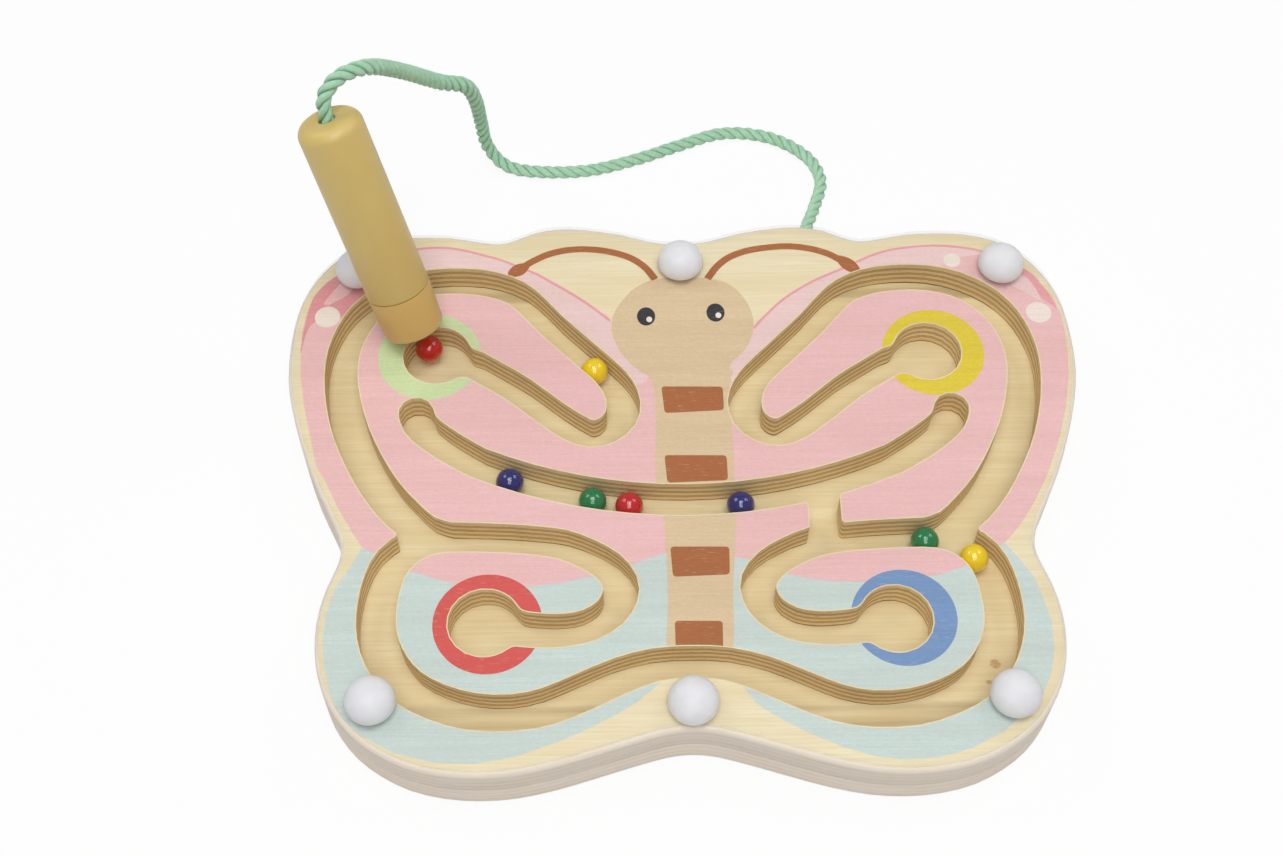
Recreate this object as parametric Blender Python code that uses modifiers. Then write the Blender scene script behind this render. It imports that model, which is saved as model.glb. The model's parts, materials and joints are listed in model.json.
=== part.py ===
"""Magnetic maze board: a butterfly-shaped plywood board with a routed bead maze.

A maze plate with through-cut channels is glued on a base board that makes the channels' floor.
A clear cover, held by six domed push rivets, keeps eight steel beads in. A pen with a magnet in
its tip draws the beads along from above, and a twisted rope ties it to the board's back edge.

Metres, +Z up. The origin is the centre of the board's underside, +X to the right of the
butterfly and +Y towards its antennae.
"""
import math

import bmesh
import bpy
from mathutils import Matrix, Vector

# Board
board_half_width = 0.126
board_half_depth = 0.0968
base_thickness = 0.010
plate_thickness = 0.010
cover_thickness = 0.002
edge_round = 0.0012
joint_gap = 0.0003
overrun = 0.002
weld_distance = 0.000003

# Beads and the channels that they roll in
bead_diameter = 0.0088
track_play = 0.0016
pocket_diameter = 0.0218
pocket_fillet = 0.0042
smile_radius = 0.15625
smile_reach_share = 0.5127
smile_low_share = -0.083
smile_width_share = 1.04

# Push rivets
rivet_head_diameter = 0.0148
rivet_rim = 0.0009
rivet_dome = 0.0060
rivet_shank_diameter = 0.0046
rivet_barb = 0.0004
rivet_barb_pitch = 0.0028
rivet_bite = 0.0062
rivet_tip = 0.0012

# Magnet pen
pen_diameter = 0.0203
pen_length = 0.0776
pen_top_round = 0.0038
pen_wall = 0.0018
pen_top_wall = 0.0035
pen_seam_bevel = 0.0004
tip_length = 0.0153
tip_taper = 0.0005
tip_edge = 0.0006
tip_floor = 0.0012
spigot_height = 0.0070
magnet_diameter = 0.0126
magnet_height = 0.0060
pen_tilt = math.radians(24.7)
pen_azimuth = math.radians(128.3)

# Rope
rope_diameter = 0.0045
rope_hole_depth = 0.0140
rope_hole_share = 0.344
knot_diameter = 0.0098
knot_height = 0.0082
knot_waist_share = 0.80

# How finely the shapes are drawn
outline_steps = 2
track_steps = 2
smile_steps = 16
cap_steps = 6
pocket_steps = 5
flare_steps = 3
rivet_segments = 18
hole_segments = 18
pen_segments = 32
knot_segments = 16
bead_segments = 16
bead_rings = 10
rope_steps = 2

# Right half of the outline, from the notch between the antennae to the tail:
# shares of the board's half width and half depth
outline_shares = (
    (0.000, 0.929), (0.075, 0.941), (0.157, 0.974), (0.248, 0.995), (0.314, 1.000), (0.381, 0.985),
    (0.430, 0.955), (0.476, 0.937), (0.529, 0.946), (0.603, 0.965), (0.687, 0.969), (0.760, 0.962),
    (0.831, 0.937), (0.890, 0.887), (0.933, 0.824), (0.966, 0.750), (0.990, 0.652), (1.000, 0.522),
    (0.998, 0.393), (0.981, 0.274), (0.951, 0.139), (0.912, 0.003), (0.869, -0.114),
    (0.840, -0.197), (0.831, -0.259), (0.841, -0.317), (0.859, -0.383), (0.872, -0.460),
    (0.876, -0.542), (0.869, -0.635), (0.850, -0.721), (0.820, -0.794), (0.777, -0.862),
    (0.721, -0.918), (0.652, -0.964), (0.572, -0.991), (0.490, -1.000), (0.405, -0.993),
    (0.314, -0.968), (0.224, -0.933), (0.133, -0.896), (0.058, -0.869), (0.000, -0.861),
)

# Stations of the channels' centre lines, right side: shares of the board's half width and half
# depth, then of the track's width. The upper channel leaves the wing's target pocket, turns
# round the finger beside the head and follows the wing's edge down to the side junction.
upper_pocket_shares = (0.625, 0.475)
upper_track_shares = (
    (0.528, 0.436, 1.02), (0.475, 0.391, 1.00), (0.413, 0.335, 1.00), (0.331, 0.243, 1.00),
    (0.277, 0.190, 1.00), (0.234, 0.165, 0.94), (0.192, 0.179, 0.94), (0.160, 0.223, 1.00),
    (0.152, 0.283, 1.02), (0.165, 0.344, 0.98), (0.194, 0.400, 0.93), (0.237, 0.459, 0.93),
    (0.285, 0.524, 0.93), (0.335, 0.593, 0.93), (0.383, 0.669, 0.93), (0.427, 0.725, 0.94),
    (0.488, 0.761, 0.98), (0.562, 0.777, 0.98), (0.645, 0.774, 0.98), (0.719, 0.747, 0.98),
    (0.777, 0.699, 1.00), (0.818, 0.641, 1.02), (0.845, 0.573, 1.00), (0.862, 0.492, 1.00),
    (0.865, 0.401, 1.00), (0.853, 0.293, 1.04), (0.827, 0.175, 1.08), (0.788, 0.062, 1.10),
    (0.742, -0.040, 1.12), (0.690, -0.123, 1.14), (0.632, -0.186, 1.04), (0.570, -0.209, 0.93),
)
# The lower channel runs from the tail's middle round the lower wing, back over its finger and
# into the lower target pocket
lower_pocket_shares = (0.482, -0.505)
lower_track_shares = (
    (0.000, -0.642, 0.96), (0.083, -0.650, 1.00), (0.165, -0.684, 1.10), (0.248, -0.734, 1.14),
    (0.331, -0.780, 1.12), (0.413, -0.800, 1.08), (0.504, -0.795, 1.10), (0.587, -0.762, 1.10),
    (0.653, -0.713, 1.12), (0.696, -0.650, 1.12), (0.723, -0.579, 1.12), (0.735, -0.506, 1.12),
    (0.734, -0.429, 1.12), (0.724, -0.353, 1.12), (0.702, -0.287, 1.12), (0.657, -0.235, 1.06),
    (0.599, -0.211, 0.98), (0.521, -0.210, 0.94), (0.438, -0.215, 0.93), (0.364, -0.224, 0.93),
    (0.302, -0.238, 0.96), (0.244, -0.271, 0.98), (0.194, -0.314, 1.00), (0.165, -0.368, 1.02),
    (0.165, -0.422, 1.02), (0.189, -0.476, 1.00), (0.236, -0.516, 1.00), (0.289, -0.532, 1.01),
    (0.339, -0.534, 1.04), (0.384, -0.529, 1.06),
)
# The smile channel across the body is an arc with these stations past its right end
smile_end_shares = (
    (0.575, 0.113, 1.06), (0.627, 0.165, 1.06), (0.657, 0.206, 1.06), (0.670, 0.251, 1.06),
)
# The short link from the smile channel down to the lower one, on the right only
link_shares = ((0.333, -0.035, 0.94), (0.333, -0.223, 0.94))

# Places on the board, as shares of its half width and half depth
rivet_shares = {
    "rivet_top_centre": (0.000, 0.826),
    "rivet_top_right": (0.837, 0.804),
    "rivet_top_left": (-0.837, 0.804),
    "rivet_bottom_right": (0.733, -0.773),
    "rivet_bottom_left": (-0.733, -0.773),
    "rivet_bottom_centre": (0.000, -0.784),
}
pen_stand_shares = (-0.681, 0.548)

# Where beads stand on the channels: the station counted along the track, or the angle in degrees
# on the smile's arc and in the pocket
yellow_left_station = 10.73
green_right_station = 16.31
yellow_right_station = 14.29
smile_bead_angles = {
    "bead_blue_left": -20.5,
    "bead_green_left": -10.7,
    "bead_red_centre": -6.5,
    "bead_blue_right": 6.15,
}
held_bead_angle = 120.0

# The rope's route: out of the board's back edge, over the table and up to the pen's top
rope_route = (
    (0.0433, 0.0830, 0.0050), (0.0433, 0.0955, 0.0050), (0.0442, 0.1065, 0.0042),
    (0.0484, 0.1190, 0.0025), (0.0512, 0.1310, 0.0025), (0.0465, 0.1420, 0.0025),
    (0.0340, 0.1505, 0.0025), (0.0175, 0.1526, 0.0025), (0.0013, 0.1470, 0.0025),
    (-0.0130, 0.1412, 0.0025), (-0.0300, 0.1362, 0.0025), (-0.0470, 0.1356, 0.0025),
    (-0.0592, 0.1378, 0.0032), (-0.0659, 0.1410, 0.0104), (-0.0673, 0.1396, 0.0254),
    (-0.0678, 0.1348, 0.0411), (-0.0703, 0.1308, 0.0529), (-0.0776, 0.1238, 0.0627),
    (-0.0866, 0.1075, 0.0857), (-0.0934, 0.0928, 0.1036), (-0.1010, 0.0855, 0.1076),
    (-0.1058, 0.0810, 0.1040),
)

# Heights of the stacked layers
plate_low = base_thickness + joint_gap
plate_top = plate_low + plate_thickness
cover_low = plate_top + joint_gap
cover_top = cover_low + cover_thickness

# Sizes that follow from the beads, the rivets, the rope and the pen
bead_radius = bead_diameter / 2
track_width = bead_diameter + track_play
pocket_radius = pocket_diameter / 2
rivet_hole_radius = rivet_shank_diameter / 2 + rivet_barb + joint_gap
rope_radius = rope_diameter / 2
rope_hole_radius = rope_radius + joint_gap
pen_radius = pen_diameter / 2
handle_bore_radius = pen_radius - pen_wall
spigot_radius = handle_bore_radius - joint_gap
magnet_bore_radius = magnet_diameter / 2 + joint_gap

# Colours and finishes
finishes = {
    "plywood": ((0.78, 0.62, 0.38), 0.55, 0.0),
    "base_plywood": ((0.74, 0.58, 0.36), 0.60, 0.0),
    "clear_acrylic": ((0.92, 0.95, 0.96), 0.05, 0.0),
    "white_nylon": ((0.80, 0.80, 0.82), 0.35, 0.0),
    "tan_plastic": ((0.60, 0.44, 0.19), 0.45, 0.0),
    "magnet_nickel": ((0.55, 0.55, 0.56), 0.25, 1.0),
    "green_rope": ((0.31, 0.66, 0.45), 0.85, 0.0),
    "red_enamel": ((0.52, 0.02, 0.02), 0.15, 0.0),
    "yellow_enamel": ((0.82, 0.56, 0.02), 0.15, 0.0),
    "green_enamel": ((0.03, 0.22, 0.08), 0.15, 0.0),
    "blue_enamel": ((0.02, 0.02, 0.12), 0.15, 0.0),
}


def clear_scene():
    """Remove every object so that the model starts from nothing."""
    for item in list(bpy.data.objects):
        bpy.data.objects.remove(item, do_unlink=True)


def new_collection(name):
    collection = bpy.data.collections.new(name)
    bpy.context.scene.collection.children.link(collection)
    return collection


def finish_material(name):
    """One material for each sub-part, from the table of finishes."""
    colour, roughness, metallic = finishes[name]
    material = bpy.data.materials.new(name)
    material.use_nodes = True
    shader = material.node_tree.nodes["Principled BSDF"]
    shader.inputs["Base Color"].default_value = (*colour, 1.0)
    shader.inputs["Roughness"].default_value = roughness
    shader.inputs["Metallic"].default_value = metallic
    return material


def link_part(item, finish):
    """Put a finished object in the part's collection with its material."""
    item.data.materials.append(finish_material(finish))
    part_collection.objects.link(item)
    return item


def board_point(shares):
    """A place on the board from shares of its half width and half depth."""
    return Vector((shares[0] * board_half_width, shares[1] * board_half_depth))


def smooth_curve(points, steps, closed=False):
    """Points on a Catmull-Rom curve through the given points, of any dimension."""
    points = [Vector(point) for point in points]
    count = len(points)
    spans = count if closed else count - 1
    result = []
    for span in range(spans):
        start, end = points[span], points[(span + 1) % count]
        before = points[span - 1] if closed or span > 0 else 2 * start - end
        after = points[(span + 2) % count] if closed or span < spans - 1 else 2 * end - start
        for step in range(steps):
            t = step / steps
            result.append(0.5 * (2 * start + (end - before) * t
                                 + (2 * before - 5 * start + 4 * end - after) * t ** 2
                                 + (3 * start - before - 3 * end + after) * t ** 3))
    if not closed:
        result.append(points[-1])
    return result


def mirrored(points):
    """The same stations on the butterfly's left side."""
    return [(-point[0], *point[1:]) for point in points]


def curve_to_mesh(curve_object, name):
    """Turn a curve object into a closed mesh object and remove the curve."""
    bpy.context.scene.collection.objects.link(curve_object)
    evaluated = curve_object.evaluated_get(bpy.context.evaluated_depsgraph_get())
    mesh = bpy.data.meshes.new_from_object(evaluated)
    shape = bmesh.new()
    shape.from_mesh(mesh)
    bmesh.ops.remove_doubles(shape, verts=shape.verts, dist=weld_distance)
    bmesh.ops.recalc_face_normals(shape, faces=shape.faces)
    shape.to_mesh(mesh)
    shape.free()
    mesh.transform(curve_object.matrix_world)
    bpy.data.objects.remove(curve_object, do_unlink=True)
    return bpy.data.objects.new(name, mesh)


def flat_solid(name, outline, low, high):
    """A flat piece or cutter: a closed 2D outline with a thickness from low to high."""
    curve = bpy.data.curves.new(name, "CURVE")
    curve.dimensions = "2D"
    curve.fill_mode = "BOTH"
    curve.extrude = (high - low) / 2
    spline = curve.splines.new("POLY")
    spline.points.add(len(outline) - 1)
    for point, place in zip(spline.points, outline):
        point.co = (place[0], place[1], 0, 1)
    spline.use_cyclic_u = True
    holder = bpy.data.objects.new(name, curve)
    holder.location.z = (low + high) / 2
    bpy.context.view_layer.update()
    return curve_to_mesh(holder, name)


def keep_cutter(item):
    """Store a shape as a cutter that neither shows nor counts as a piece."""
    cutter_collection.objects.link(item)
    item.display_type = "WIRE"
    item.hide_render = True
    return item


def cut(item, cutters):
    """Cut each of the cutters out of an object."""
    for cutter in cutters:
        modifier = item.modifiers.new(cutter.name, "BOOLEAN")
        modifier.operation = "DIFFERENCE"
        modifier.solver = "EXACT"
        modifier.object = cutter


def hole_cutter(name, radius, centre, axis, length):
    """A round cutter whose middle is at centre, along axis."""
    shape = bmesh.new()
    bmesh.ops.create_cone(shape, cap_ends=True, segments=hole_segments, radius1=radius,
                          radius2=radius, depth=length)
    turn = Vector((0, 0, 1)).rotation_difference(axis).to_matrix().to_4x4()
    bmesh.ops.transform(shape, matrix=Matrix.Translation(centre) @ turn, verts=shape.verts)
    mesh = bpy.data.meshes.new(name)
    shape.to_mesh(mesh)
    shape.free()
    return keep_cutter(bpy.data.objects.new(name, mesh))


def turned(name, profile, segments, frame=Matrix.Identity(4), closed=False):
    """A turned piece: a profile of radius and height, down the outer side, spun about Z."""
    shape = bmesh.new()
    corners = [shape.verts.new((radius, 0, height)) for radius, height in profile]
    pairs = list(zip(corners, corners[1:]))
    if closed:
        pairs.append((corners[-1], corners[0]))
    for pair in pairs:
        shape.edges.new(pair)
    mesh = bpy.data.meshes.new(name)
    shape.to_mesh(mesh)
    shape.free()
    item = bpy.data.objects.new(name, mesh)
    item.matrix_world = frame
    screw = item.modifiers.new("turn", "SCREW")
    screw.steps = segments
    screw.render_steps = segments
    screw.use_merge_vertices = True
    screw.merge_threshold = weld_distance
    screw.use_smooth_shade = True
    return item


def board_outline(inset=0.0):
    """The butterfly's outline, drawn in by an inset."""
    right = [board_point(shares) for shares in outline_shares]
    left = [Vector((-point.x, point.y)) for point in reversed(right[1:-1])]
    outline = smooth_curve(right + left, outline_steps, closed=True)
    drawn_in = []
    for index, point in enumerate(outline):
        along = (outline[(index + 1) % len(outline)] - outline[index - 1]).normalized()
        drawn_in.append(point + Vector((along.y, -along.x)) * inset)
    return drawn_in


def track_stations(shares):
    """Centre line points with half widths, from shares."""
    return [(*board_point(row), row[2] * track_width / 2) for row in shares]


def pocket_mouth(centre, first):
    """Stations from a round pocket's centre out to the channel's first station.

    The half width follows the pocket's circle, then a fillet, then the channel's wall.
    """
    half = first[2]
    centre = Vector(centre)
    outward = (Vector(first[:2]) - centre).normalized()
    reach = math.sqrt((pocket_radius + pocket_fillet) ** 2 - (half + pocket_fillet) ** 2)
    meet = reach * pocket_radius / (pocket_radius + pocket_fillet)
    last_angle = math.acos(meet / pocket_radius)
    stations = []
    for step in range(pocket_steps):
        angle = math.pi / 2 + (last_angle - math.pi / 2) * step / pocket_steps
        stations.append((pocket_radius * math.cos(angle), pocket_radius * math.sin(angle)))
    for step in range(flare_steps):
        distance = meet + (reach - meet) * step / flare_steps
        drop = math.sqrt(pocket_fillet ** 2 - (reach - distance) ** 2)
        stations.append((distance, half + pocket_fillet - drop))
    room = (Vector(first[:2]) - centre).length - joint_gap
    return [(*(centre + outward * distance), width) for distance, width in stations
            if distance < room]


def round_end(centre, start, steps):
    """Points on the half circle that closes a channel, from start round to the far wall."""
    spoke = start - centre
    points = []
    for step in range(1, steps):
        angle = -math.pi * step / steps
        turn = Matrix.Rotation(angle, 2)
        points.append(centre + turn @ spoke)
    return points


def channel_wall(stations, side):
    """One wall of a channel, +1 left or -1 right, without the points that fold back in a turn."""
    centres = [Vector(station[:2]) for station in stations]
    wall = []
    for index, centre in enumerate(centres):
        ahead = centres[min(index + 1, len(centres) - 1)]
        behind = centres[max(index - 1, 0)]
        along = (ahead - behind).normalized()
        point = centre + Vector((-along.y, along.x)) * stations[index][2] * side
        while len(wall) > 1 and (point - wall[-1]).dot(along) <= 0:
            wall.pop()
        wall.append(point)
    return wall


def channel_outline(stations, start_steps, end_steps):
    """The closed outline of a channel with round ends, from centre points and half widths."""
    centres = [Vector(station[:2]) for station in (stations[0], stations[-1])]
    left, right = channel_wall(stations, 1), channel_wall(stations, -1)
    end_cap = round_end(centres[-1], left[-1], end_steps)
    start_cap = round_end(centres[0], right[0], start_steps)
    return left + end_cap + list(reversed(right)) + start_cap


def channel_cutter(name, stations, start_steps=cap_steps, end_steps=cap_steps):
    outline = channel_outline(stations, start_steps, end_steps)
    return keep_cutter(flat_solid(name, outline, plate_low - overrun, plate_top + overrun))


def upper_channel(side):
    """Stations of the upper channel on one side, +1 right or -1 left."""
    rows = track_stations(upper_track_shares)
    mouth = pocket_mouth(board_point(upper_pocket_shares), rows[0])
    stations = mouth + [tuple(point) for point in smooth_curve(rows, track_steps)]
    return stations if side > 0 else mirrored(stations)


def lower_channel():
    """Stations of the lower channel, from the left pocket round the tail to the right one."""
    rows = track_stations(lower_track_shares)
    mouth = pocket_mouth(board_point(lower_pocket_shares), rows[-1])
    whole = mirrored(reversed(rows[1:])) + rows
    middle = [tuple(point) for point in smooth_curve(whole, track_steps)]
    return mirrored(mouth) + middle + list(reversed(mouth))


def smile_centre():
    """The centre of the smile channel's arc."""
    return Vector((0, smile_low_share * board_half_depth + smile_radius))


def track_place(shares, station):
    """A place on a track's centre line, at a station number that may fall between two."""
    before = int(station)
    start, end = board_point(shares[before]), board_point(shares[before + 1])
    return start.lerp(end, station - before)


def smile_point(angle, radius):
    """A point on the smile's arc, angle counted from straight below its centre."""
    return smile_centre() + Vector((math.sin(angle), -math.cos(angle))) * radius


def smile_channel():
    """Stations of the smile channel, from its left end to its right one."""
    half_angle = math.asin(smile_reach_share * board_half_width / smile_radius)
    half = smile_width_share * track_width / 2
    arc = []
    for step in range(smile_steps + 1):
        angle = half_angle * (2 * step / smile_steps - 1)
        arc.append((*smile_point(angle, smile_radius), half))
    ends = [tuple(point) for point in smooth_curve([arc[-1]] + track_stations(smile_end_shares),
                                                   track_steps)][1:]
    return mirrored(reversed(ends)) + arc + ends


def make_channel_cutters():
    """Every channel of the maze as a cutter."""
    return [
        channel_cutter("cut_upper_right", upper_channel(1), start_steps=2 * pocket_steps),
        channel_cutter("cut_upper_left", upper_channel(-1), start_steps=2 * pocket_steps),
        channel_cutter("cut_lower", lower_channel(), 2 * pocket_steps, 2 * pocket_steps),
        channel_cutter("cut_smile", smile_channel()),
        channel_cutter("cut_link", track_stations(link_shares)),
    ]


def make_rivet_holes():
    """The six rivet holes, through the cover and the plate and blind in the base."""
    bottom = base_thickness - rivet_bite - joint_gap
    top = cover_top + overrun
    holes = []
    for name, shares in rivet_shares.items():
        centre = board_point(shares).to_3d()
        centre.z = (bottom + top) / 2
        holes.append(hole_cutter("hole_" + name, rivet_hole_radius, centre, Vector((0, 0, 1)),
                                 top - bottom))
    return holes


def back_edge_at(x_share):
    """Where the outline's back edge lies at a share of the half width."""
    outline = board_outline()
    place = x_share * board_half_width
    back = [point for point in outline if point.y > 0]
    return min(back, key=lambda point: abs(point.x - place)).y


def round_rim(item, height):
    """Round the outer rim of a flat piece at one height with a bevel."""
    shape = bmesh.new()
    shape.from_mesh(item.data)
    rim = []
    for edge in shape.edges:
        level = all(abs(corner.co.z - height) < joint_gap for corner in edge.verts)
        if level and any(abs(face.normal.z) < 0.5 for face in edge.link_faces):
            rim.append(edge)
    bmesh.ops.bevel(shape, geom=rim, offset=edge_round, segments=2, profile=0.5,
                    affect="EDGES", material=-1)
    shape.to_mesh(item.data)
    shape.free()


def flat_layer(name, low, high, inset, finish, round_height=None):
    """One layer of the board, cut to the butterfly's outline."""
    item = flat_solid(name, board_outline(inset), low, high)
    if round_height is not None:
        round_rim(item, round_height)
    return link_part(item, finish)


def make_board(channels, holes):
    """The base board, the maze plate glued on it and the clear cover."""
    base = flat_layer("base_board", 0.0, base_thickness, 0.0, "base_plywood", 0.0)
    edge = back_edge_at(rope_hole_share)
    start = edge - rope_hole_depth
    middle = Vector((rope_hole_share * board_half_width, (start + edge + overrun) / 2,
                     base_thickness / 2))
    rope_hole = hole_cutter("hole_rope", rope_hole_radius, middle, Vector((0, 1, 0)),
                            edge + overrun - start)
    cut(base, holes + [rope_hole])
    plate = flat_layer("maze_plate", plate_low, plate_top, 0.0, "plywood", plate_top)
    cut(plate, channels + holes)
    cover = flat_layer("clear_cover", cover_low, cover_top, edge_round, "clear_acrylic")
    cut(cover, holes)


def rivet_profile():
    """A domed push rivet, from the crown down to the shank's tip."""
    head_radius = rivet_head_diameter / 2
    shank_radius = rivet_shank_diameter / 2
    seat = cover_top + joint_gap
    tip = base_thickness - rivet_bite
    rim_top = seat + rivet_rim
    dome_steps = 5
    profile = [(0.0, rim_top + rivet_dome)]
    for step in range(1, dome_steps + 1):
        angle = math.pi / 2 * step / dome_steps
        profile.append((head_radius * math.sin(angle), rim_top + rivet_dome * math.cos(angle)))
    profile += [(head_radius, seat), (shank_radius, seat)]
    barbs = int((base_thickness - tip - rivet_tip) / rivet_barb_pitch)
    for barb in range(barbs):
        top = base_thickness - joint_gap - barb * rivet_barb_pitch
        profile += [(shank_radius, top), (shank_radius + rivet_barb, top - rivet_barb),
                    (shank_radius, top - rivet_barb_pitch + rivet_barb)]
    profile += [(shank_radius, tip + rivet_tip), (shank_radius - rivet_tip / 2, tip), (0.0, tip)]
    return profile


def make_rivets():
    """Six push rivets, one in each hole."""
    for name, shares in rivet_shares.items():
        place = Matrix.Translation(board_point(shares).to_3d())
        link_part(turned(name, rivet_profile(), rivet_segments, place), "white_nylon")


def make_bead(name, place, height, finish):
    """A steel ball with an enamel coat."""
    shape = bmesh.new()
    bmesh.ops.create_uvsphere(shape, u_segments=bead_segments, v_segments=bead_rings,
                              radius=bead_radius)
    mesh = bpy.data.meshes.new(name)
    shape.to_mesh(mesh)
    shape.free()
    mesh.shade_smooth()
    item = bpy.data.objects.new(name, mesh)
    item.location = (place.x, place.y, height)
    return link_part(item, finish)


def make_beads():
    """Seven beads at rest on the floor and one held up against the cover by the pen."""
    rolling = base_thickness + joint_gap + bead_radius
    for name, degrees in smile_bead_angles.items():
        place = smile_point(math.radians(degrees), smile_radius)
        make_bead(name, place, rolling, name.split("_")[1] + "_enamel")
    place = track_place(upper_track_shares, yellow_left_station)
    place.x = -place.x
    make_bead("bead_yellow_left", place, rolling, "yellow_enamel")
    place = track_place(lower_track_shares, green_right_station)
    make_bead("bead_green_right", place, rolling, "green_enamel")
    place = track_place(lower_track_shares, yellow_right_station)
    make_bead("bead_yellow_right", place, rolling, "yellow_enamel")
    angle = math.radians(held_bead_angle)
    pocket = board_point(upper_pocket_shares)
    pocket.x = -pocket.x
    aside = Vector((math.cos(angle), math.sin(angle))) * (pocket_radius - bead_radius - joint_gap)
    make_bead("bead_red_held", pocket + aside, cover_low - joint_gap - bead_radius, "red_enamel")


def pen_frame():
    """The pen's own frame: origin at the tip face's centre, Z along the pen."""
    lean = Vector((math.cos(pen_azimuth), math.sin(pen_azimuth), 0)) * math.sin(pen_tilt)
    axis = lean + Vector((0, 0, math.cos(pen_tilt)))
    foot_radius = pen_radius - tip_taper - tip_edge
    place = board_point(pen_stand_shares).to_3d()
    place.z = cover_top + joint_gap + foot_radius * math.sin(pen_tilt)
    turn = Vector((0, 0, 1)).rotation_difference(axis).to_matrix().to_4x4()
    return Matrix.Translation(place) @ turn


def rounded_shoulder(radius, top, round_radius, steps):
    """Profile points of a rounded edge, from the flat top down to the side."""
    points = []
    for step in range(steps + 1):
        angle = math.pi / 2 * step / steps
        points.append((radius - round_radius * (1 - math.sin(angle)),
                       top - round_radius * (1 - math.cos(angle))))
    return points


def make_pen():
    """The magnet pen: hollow handle, tip cap that plugs into it, magnet and the rope's knot."""
    frame = pen_frame()
    seam = tip_length + joint_gap
    bore_top = pen_length - pen_top_wall
    handle = [(rope_hole_radius, pen_length - pen_seam_bevel),
              (rope_hole_radius + pen_seam_bevel, pen_length)]
    handle += rounded_shoulder(pen_radius, pen_length, pen_top_round, 4)
    handle += [(pen_radius, seam + pen_seam_bevel), (pen_radius - pen_seam_bevel, seam),
               (handle_bore_radius, seam), (handle_bore_radius, bore_top),
               (rope_hole_radius, bore_top)]
    link_part(turned("pen_handle", handle, pen_segments, frame, closed=True), "tan_plastic")
    foot = pen_radius - tip_taper
    cup = tip_floor + joint_gap
    spigot_top = tip_length + spigot_height
    tip = [(0.0, cup), (magnet_bore_radius, cup), (magnet_bore_radius, spigot_top),
           (spigot_radius - pen_seam_bevel, spigot_top),
           (spigot_radius, spigot_top - pen_seam_bevel),
           (spigot_radius, tip_length), (pen_radius - pen_seam_bevel, tip_length),
           (pen_radius, tip_length - pen_seam_bevel), (foot, tip_edge), (foot - tip_edge, 0.0),
           (0.0, 0.0)]
    link_part(turned("pen_tip", tip, pen_segments, frame), "tan_plastic")
    magnet_low = cup + joint_gap
    magnet_top = magnet_low + magnet_height
    magnet_radius = magnet_diameter / 2
    magnet = [(0.0, magnet_top), (magnet_radius - pen_seam_bevel, magnet_top),
              (magnet_radius, magnet_top - pen_seam_bevel),
              (magnet_radius, magnet_low + pen_seam_bevel),
              (magnet_radius - pen_seam_bevel, magnet_low), (0.0, magnet_low)]
    link_part(turned("pen_magnet", magnet, pen_segments, frame), "magnet_nickel")
    knot_top = bore_top - joint_gap
    knot_radius = knot_diameter / 2
    knot = [(0.0, knot_top), (rope_radius, knot_top),
            (knot_radius, knot_top - knot_height / 4),
            (knot_radius * knot_waist_share, knot_top - knot_height / 2),
            (knot_radius, knot_top - knot_height * 3 / 4),
            (rope_radius, knot_top - knot_height), (0.0, knot_top - knot_height)]
    link_part(turned("rope_knot", knot, knot_segments, frame), "green_rope")


def make_rope():
    """The rope, from the blind hole in the back edge over the table into the pen's top."""
    frame = pen_frame()
    inside = [frame @ Vector((0, 0, pen_length)),
              frame @ Vector((0, 0, pen_length - pen_top_wall))]
    route = smooth_curve(list(rope_route) + inside, rope_steps)
    curve = bpy.data.curves.new("pull_rope", "CURVE")
    curve.dimensions = "3D"
    curve.bevel_depth = rope_radius
    curve.bevel_resolution = 2
    curve.use_fill_caps = True
    spline = curve.splines.new("POLY")
    spline.points.add(len(route) - 1)
    for point, place in zip(spline.points, route):
        point.co = (*place, 1)
    item = bpy.data.objects.new("pull_rope", curve)
    link_part(item, "green_rope")
    length = sum((b - a).length for a, b in zip(route, route[1:]))
    print(f"rope: {len(route)} points, {length * 1000:.1f} mm")


clear_scene()
part_collection = new_collection("magnetic_maze_board")
cutter_collection = new_collection("cutters")
make_board(make_channel_cutters(), make_rivet_holes())
make_rivets()
make_beads()
make_pen()
make_rope()
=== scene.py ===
"""Finish of a magnetic maze board, made around its packed frame.

The routed plywood board gets its grain, ply edges and printed butterfly, the cover its clear
sheet, and the rivets, beads, pen and rope their finer forms and surfaces.

The file is laid out as an add-on and is run as a script.
"""
import json
import math

import bmesh
import bpy
from bpy.props import FloatProperty, FloatVectorProperty, IntProperty, PointerProperty
from mathutils import Matrix, Vector


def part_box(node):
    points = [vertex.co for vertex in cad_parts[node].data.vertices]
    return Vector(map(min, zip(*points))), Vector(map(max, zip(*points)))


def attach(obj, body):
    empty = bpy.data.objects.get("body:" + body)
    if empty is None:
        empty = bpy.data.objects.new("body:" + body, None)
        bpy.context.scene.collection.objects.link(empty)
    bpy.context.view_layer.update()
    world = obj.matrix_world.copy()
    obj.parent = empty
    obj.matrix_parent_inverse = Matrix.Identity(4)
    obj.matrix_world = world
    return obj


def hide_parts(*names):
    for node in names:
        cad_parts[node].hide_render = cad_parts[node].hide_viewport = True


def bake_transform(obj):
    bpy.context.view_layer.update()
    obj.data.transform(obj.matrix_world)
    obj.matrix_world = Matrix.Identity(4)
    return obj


bl_info = {
    "name": "Magnetic Maze Board",
    "version": (1, 0, 0),
    "blender": (4, 5, 0),
    "location": "3D View > Sidebar > Maze Board",
    "description": "Finishes a magnetic maze board with wood, print, cover, beads, pen and rope",
    "category": "Object",
}

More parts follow.
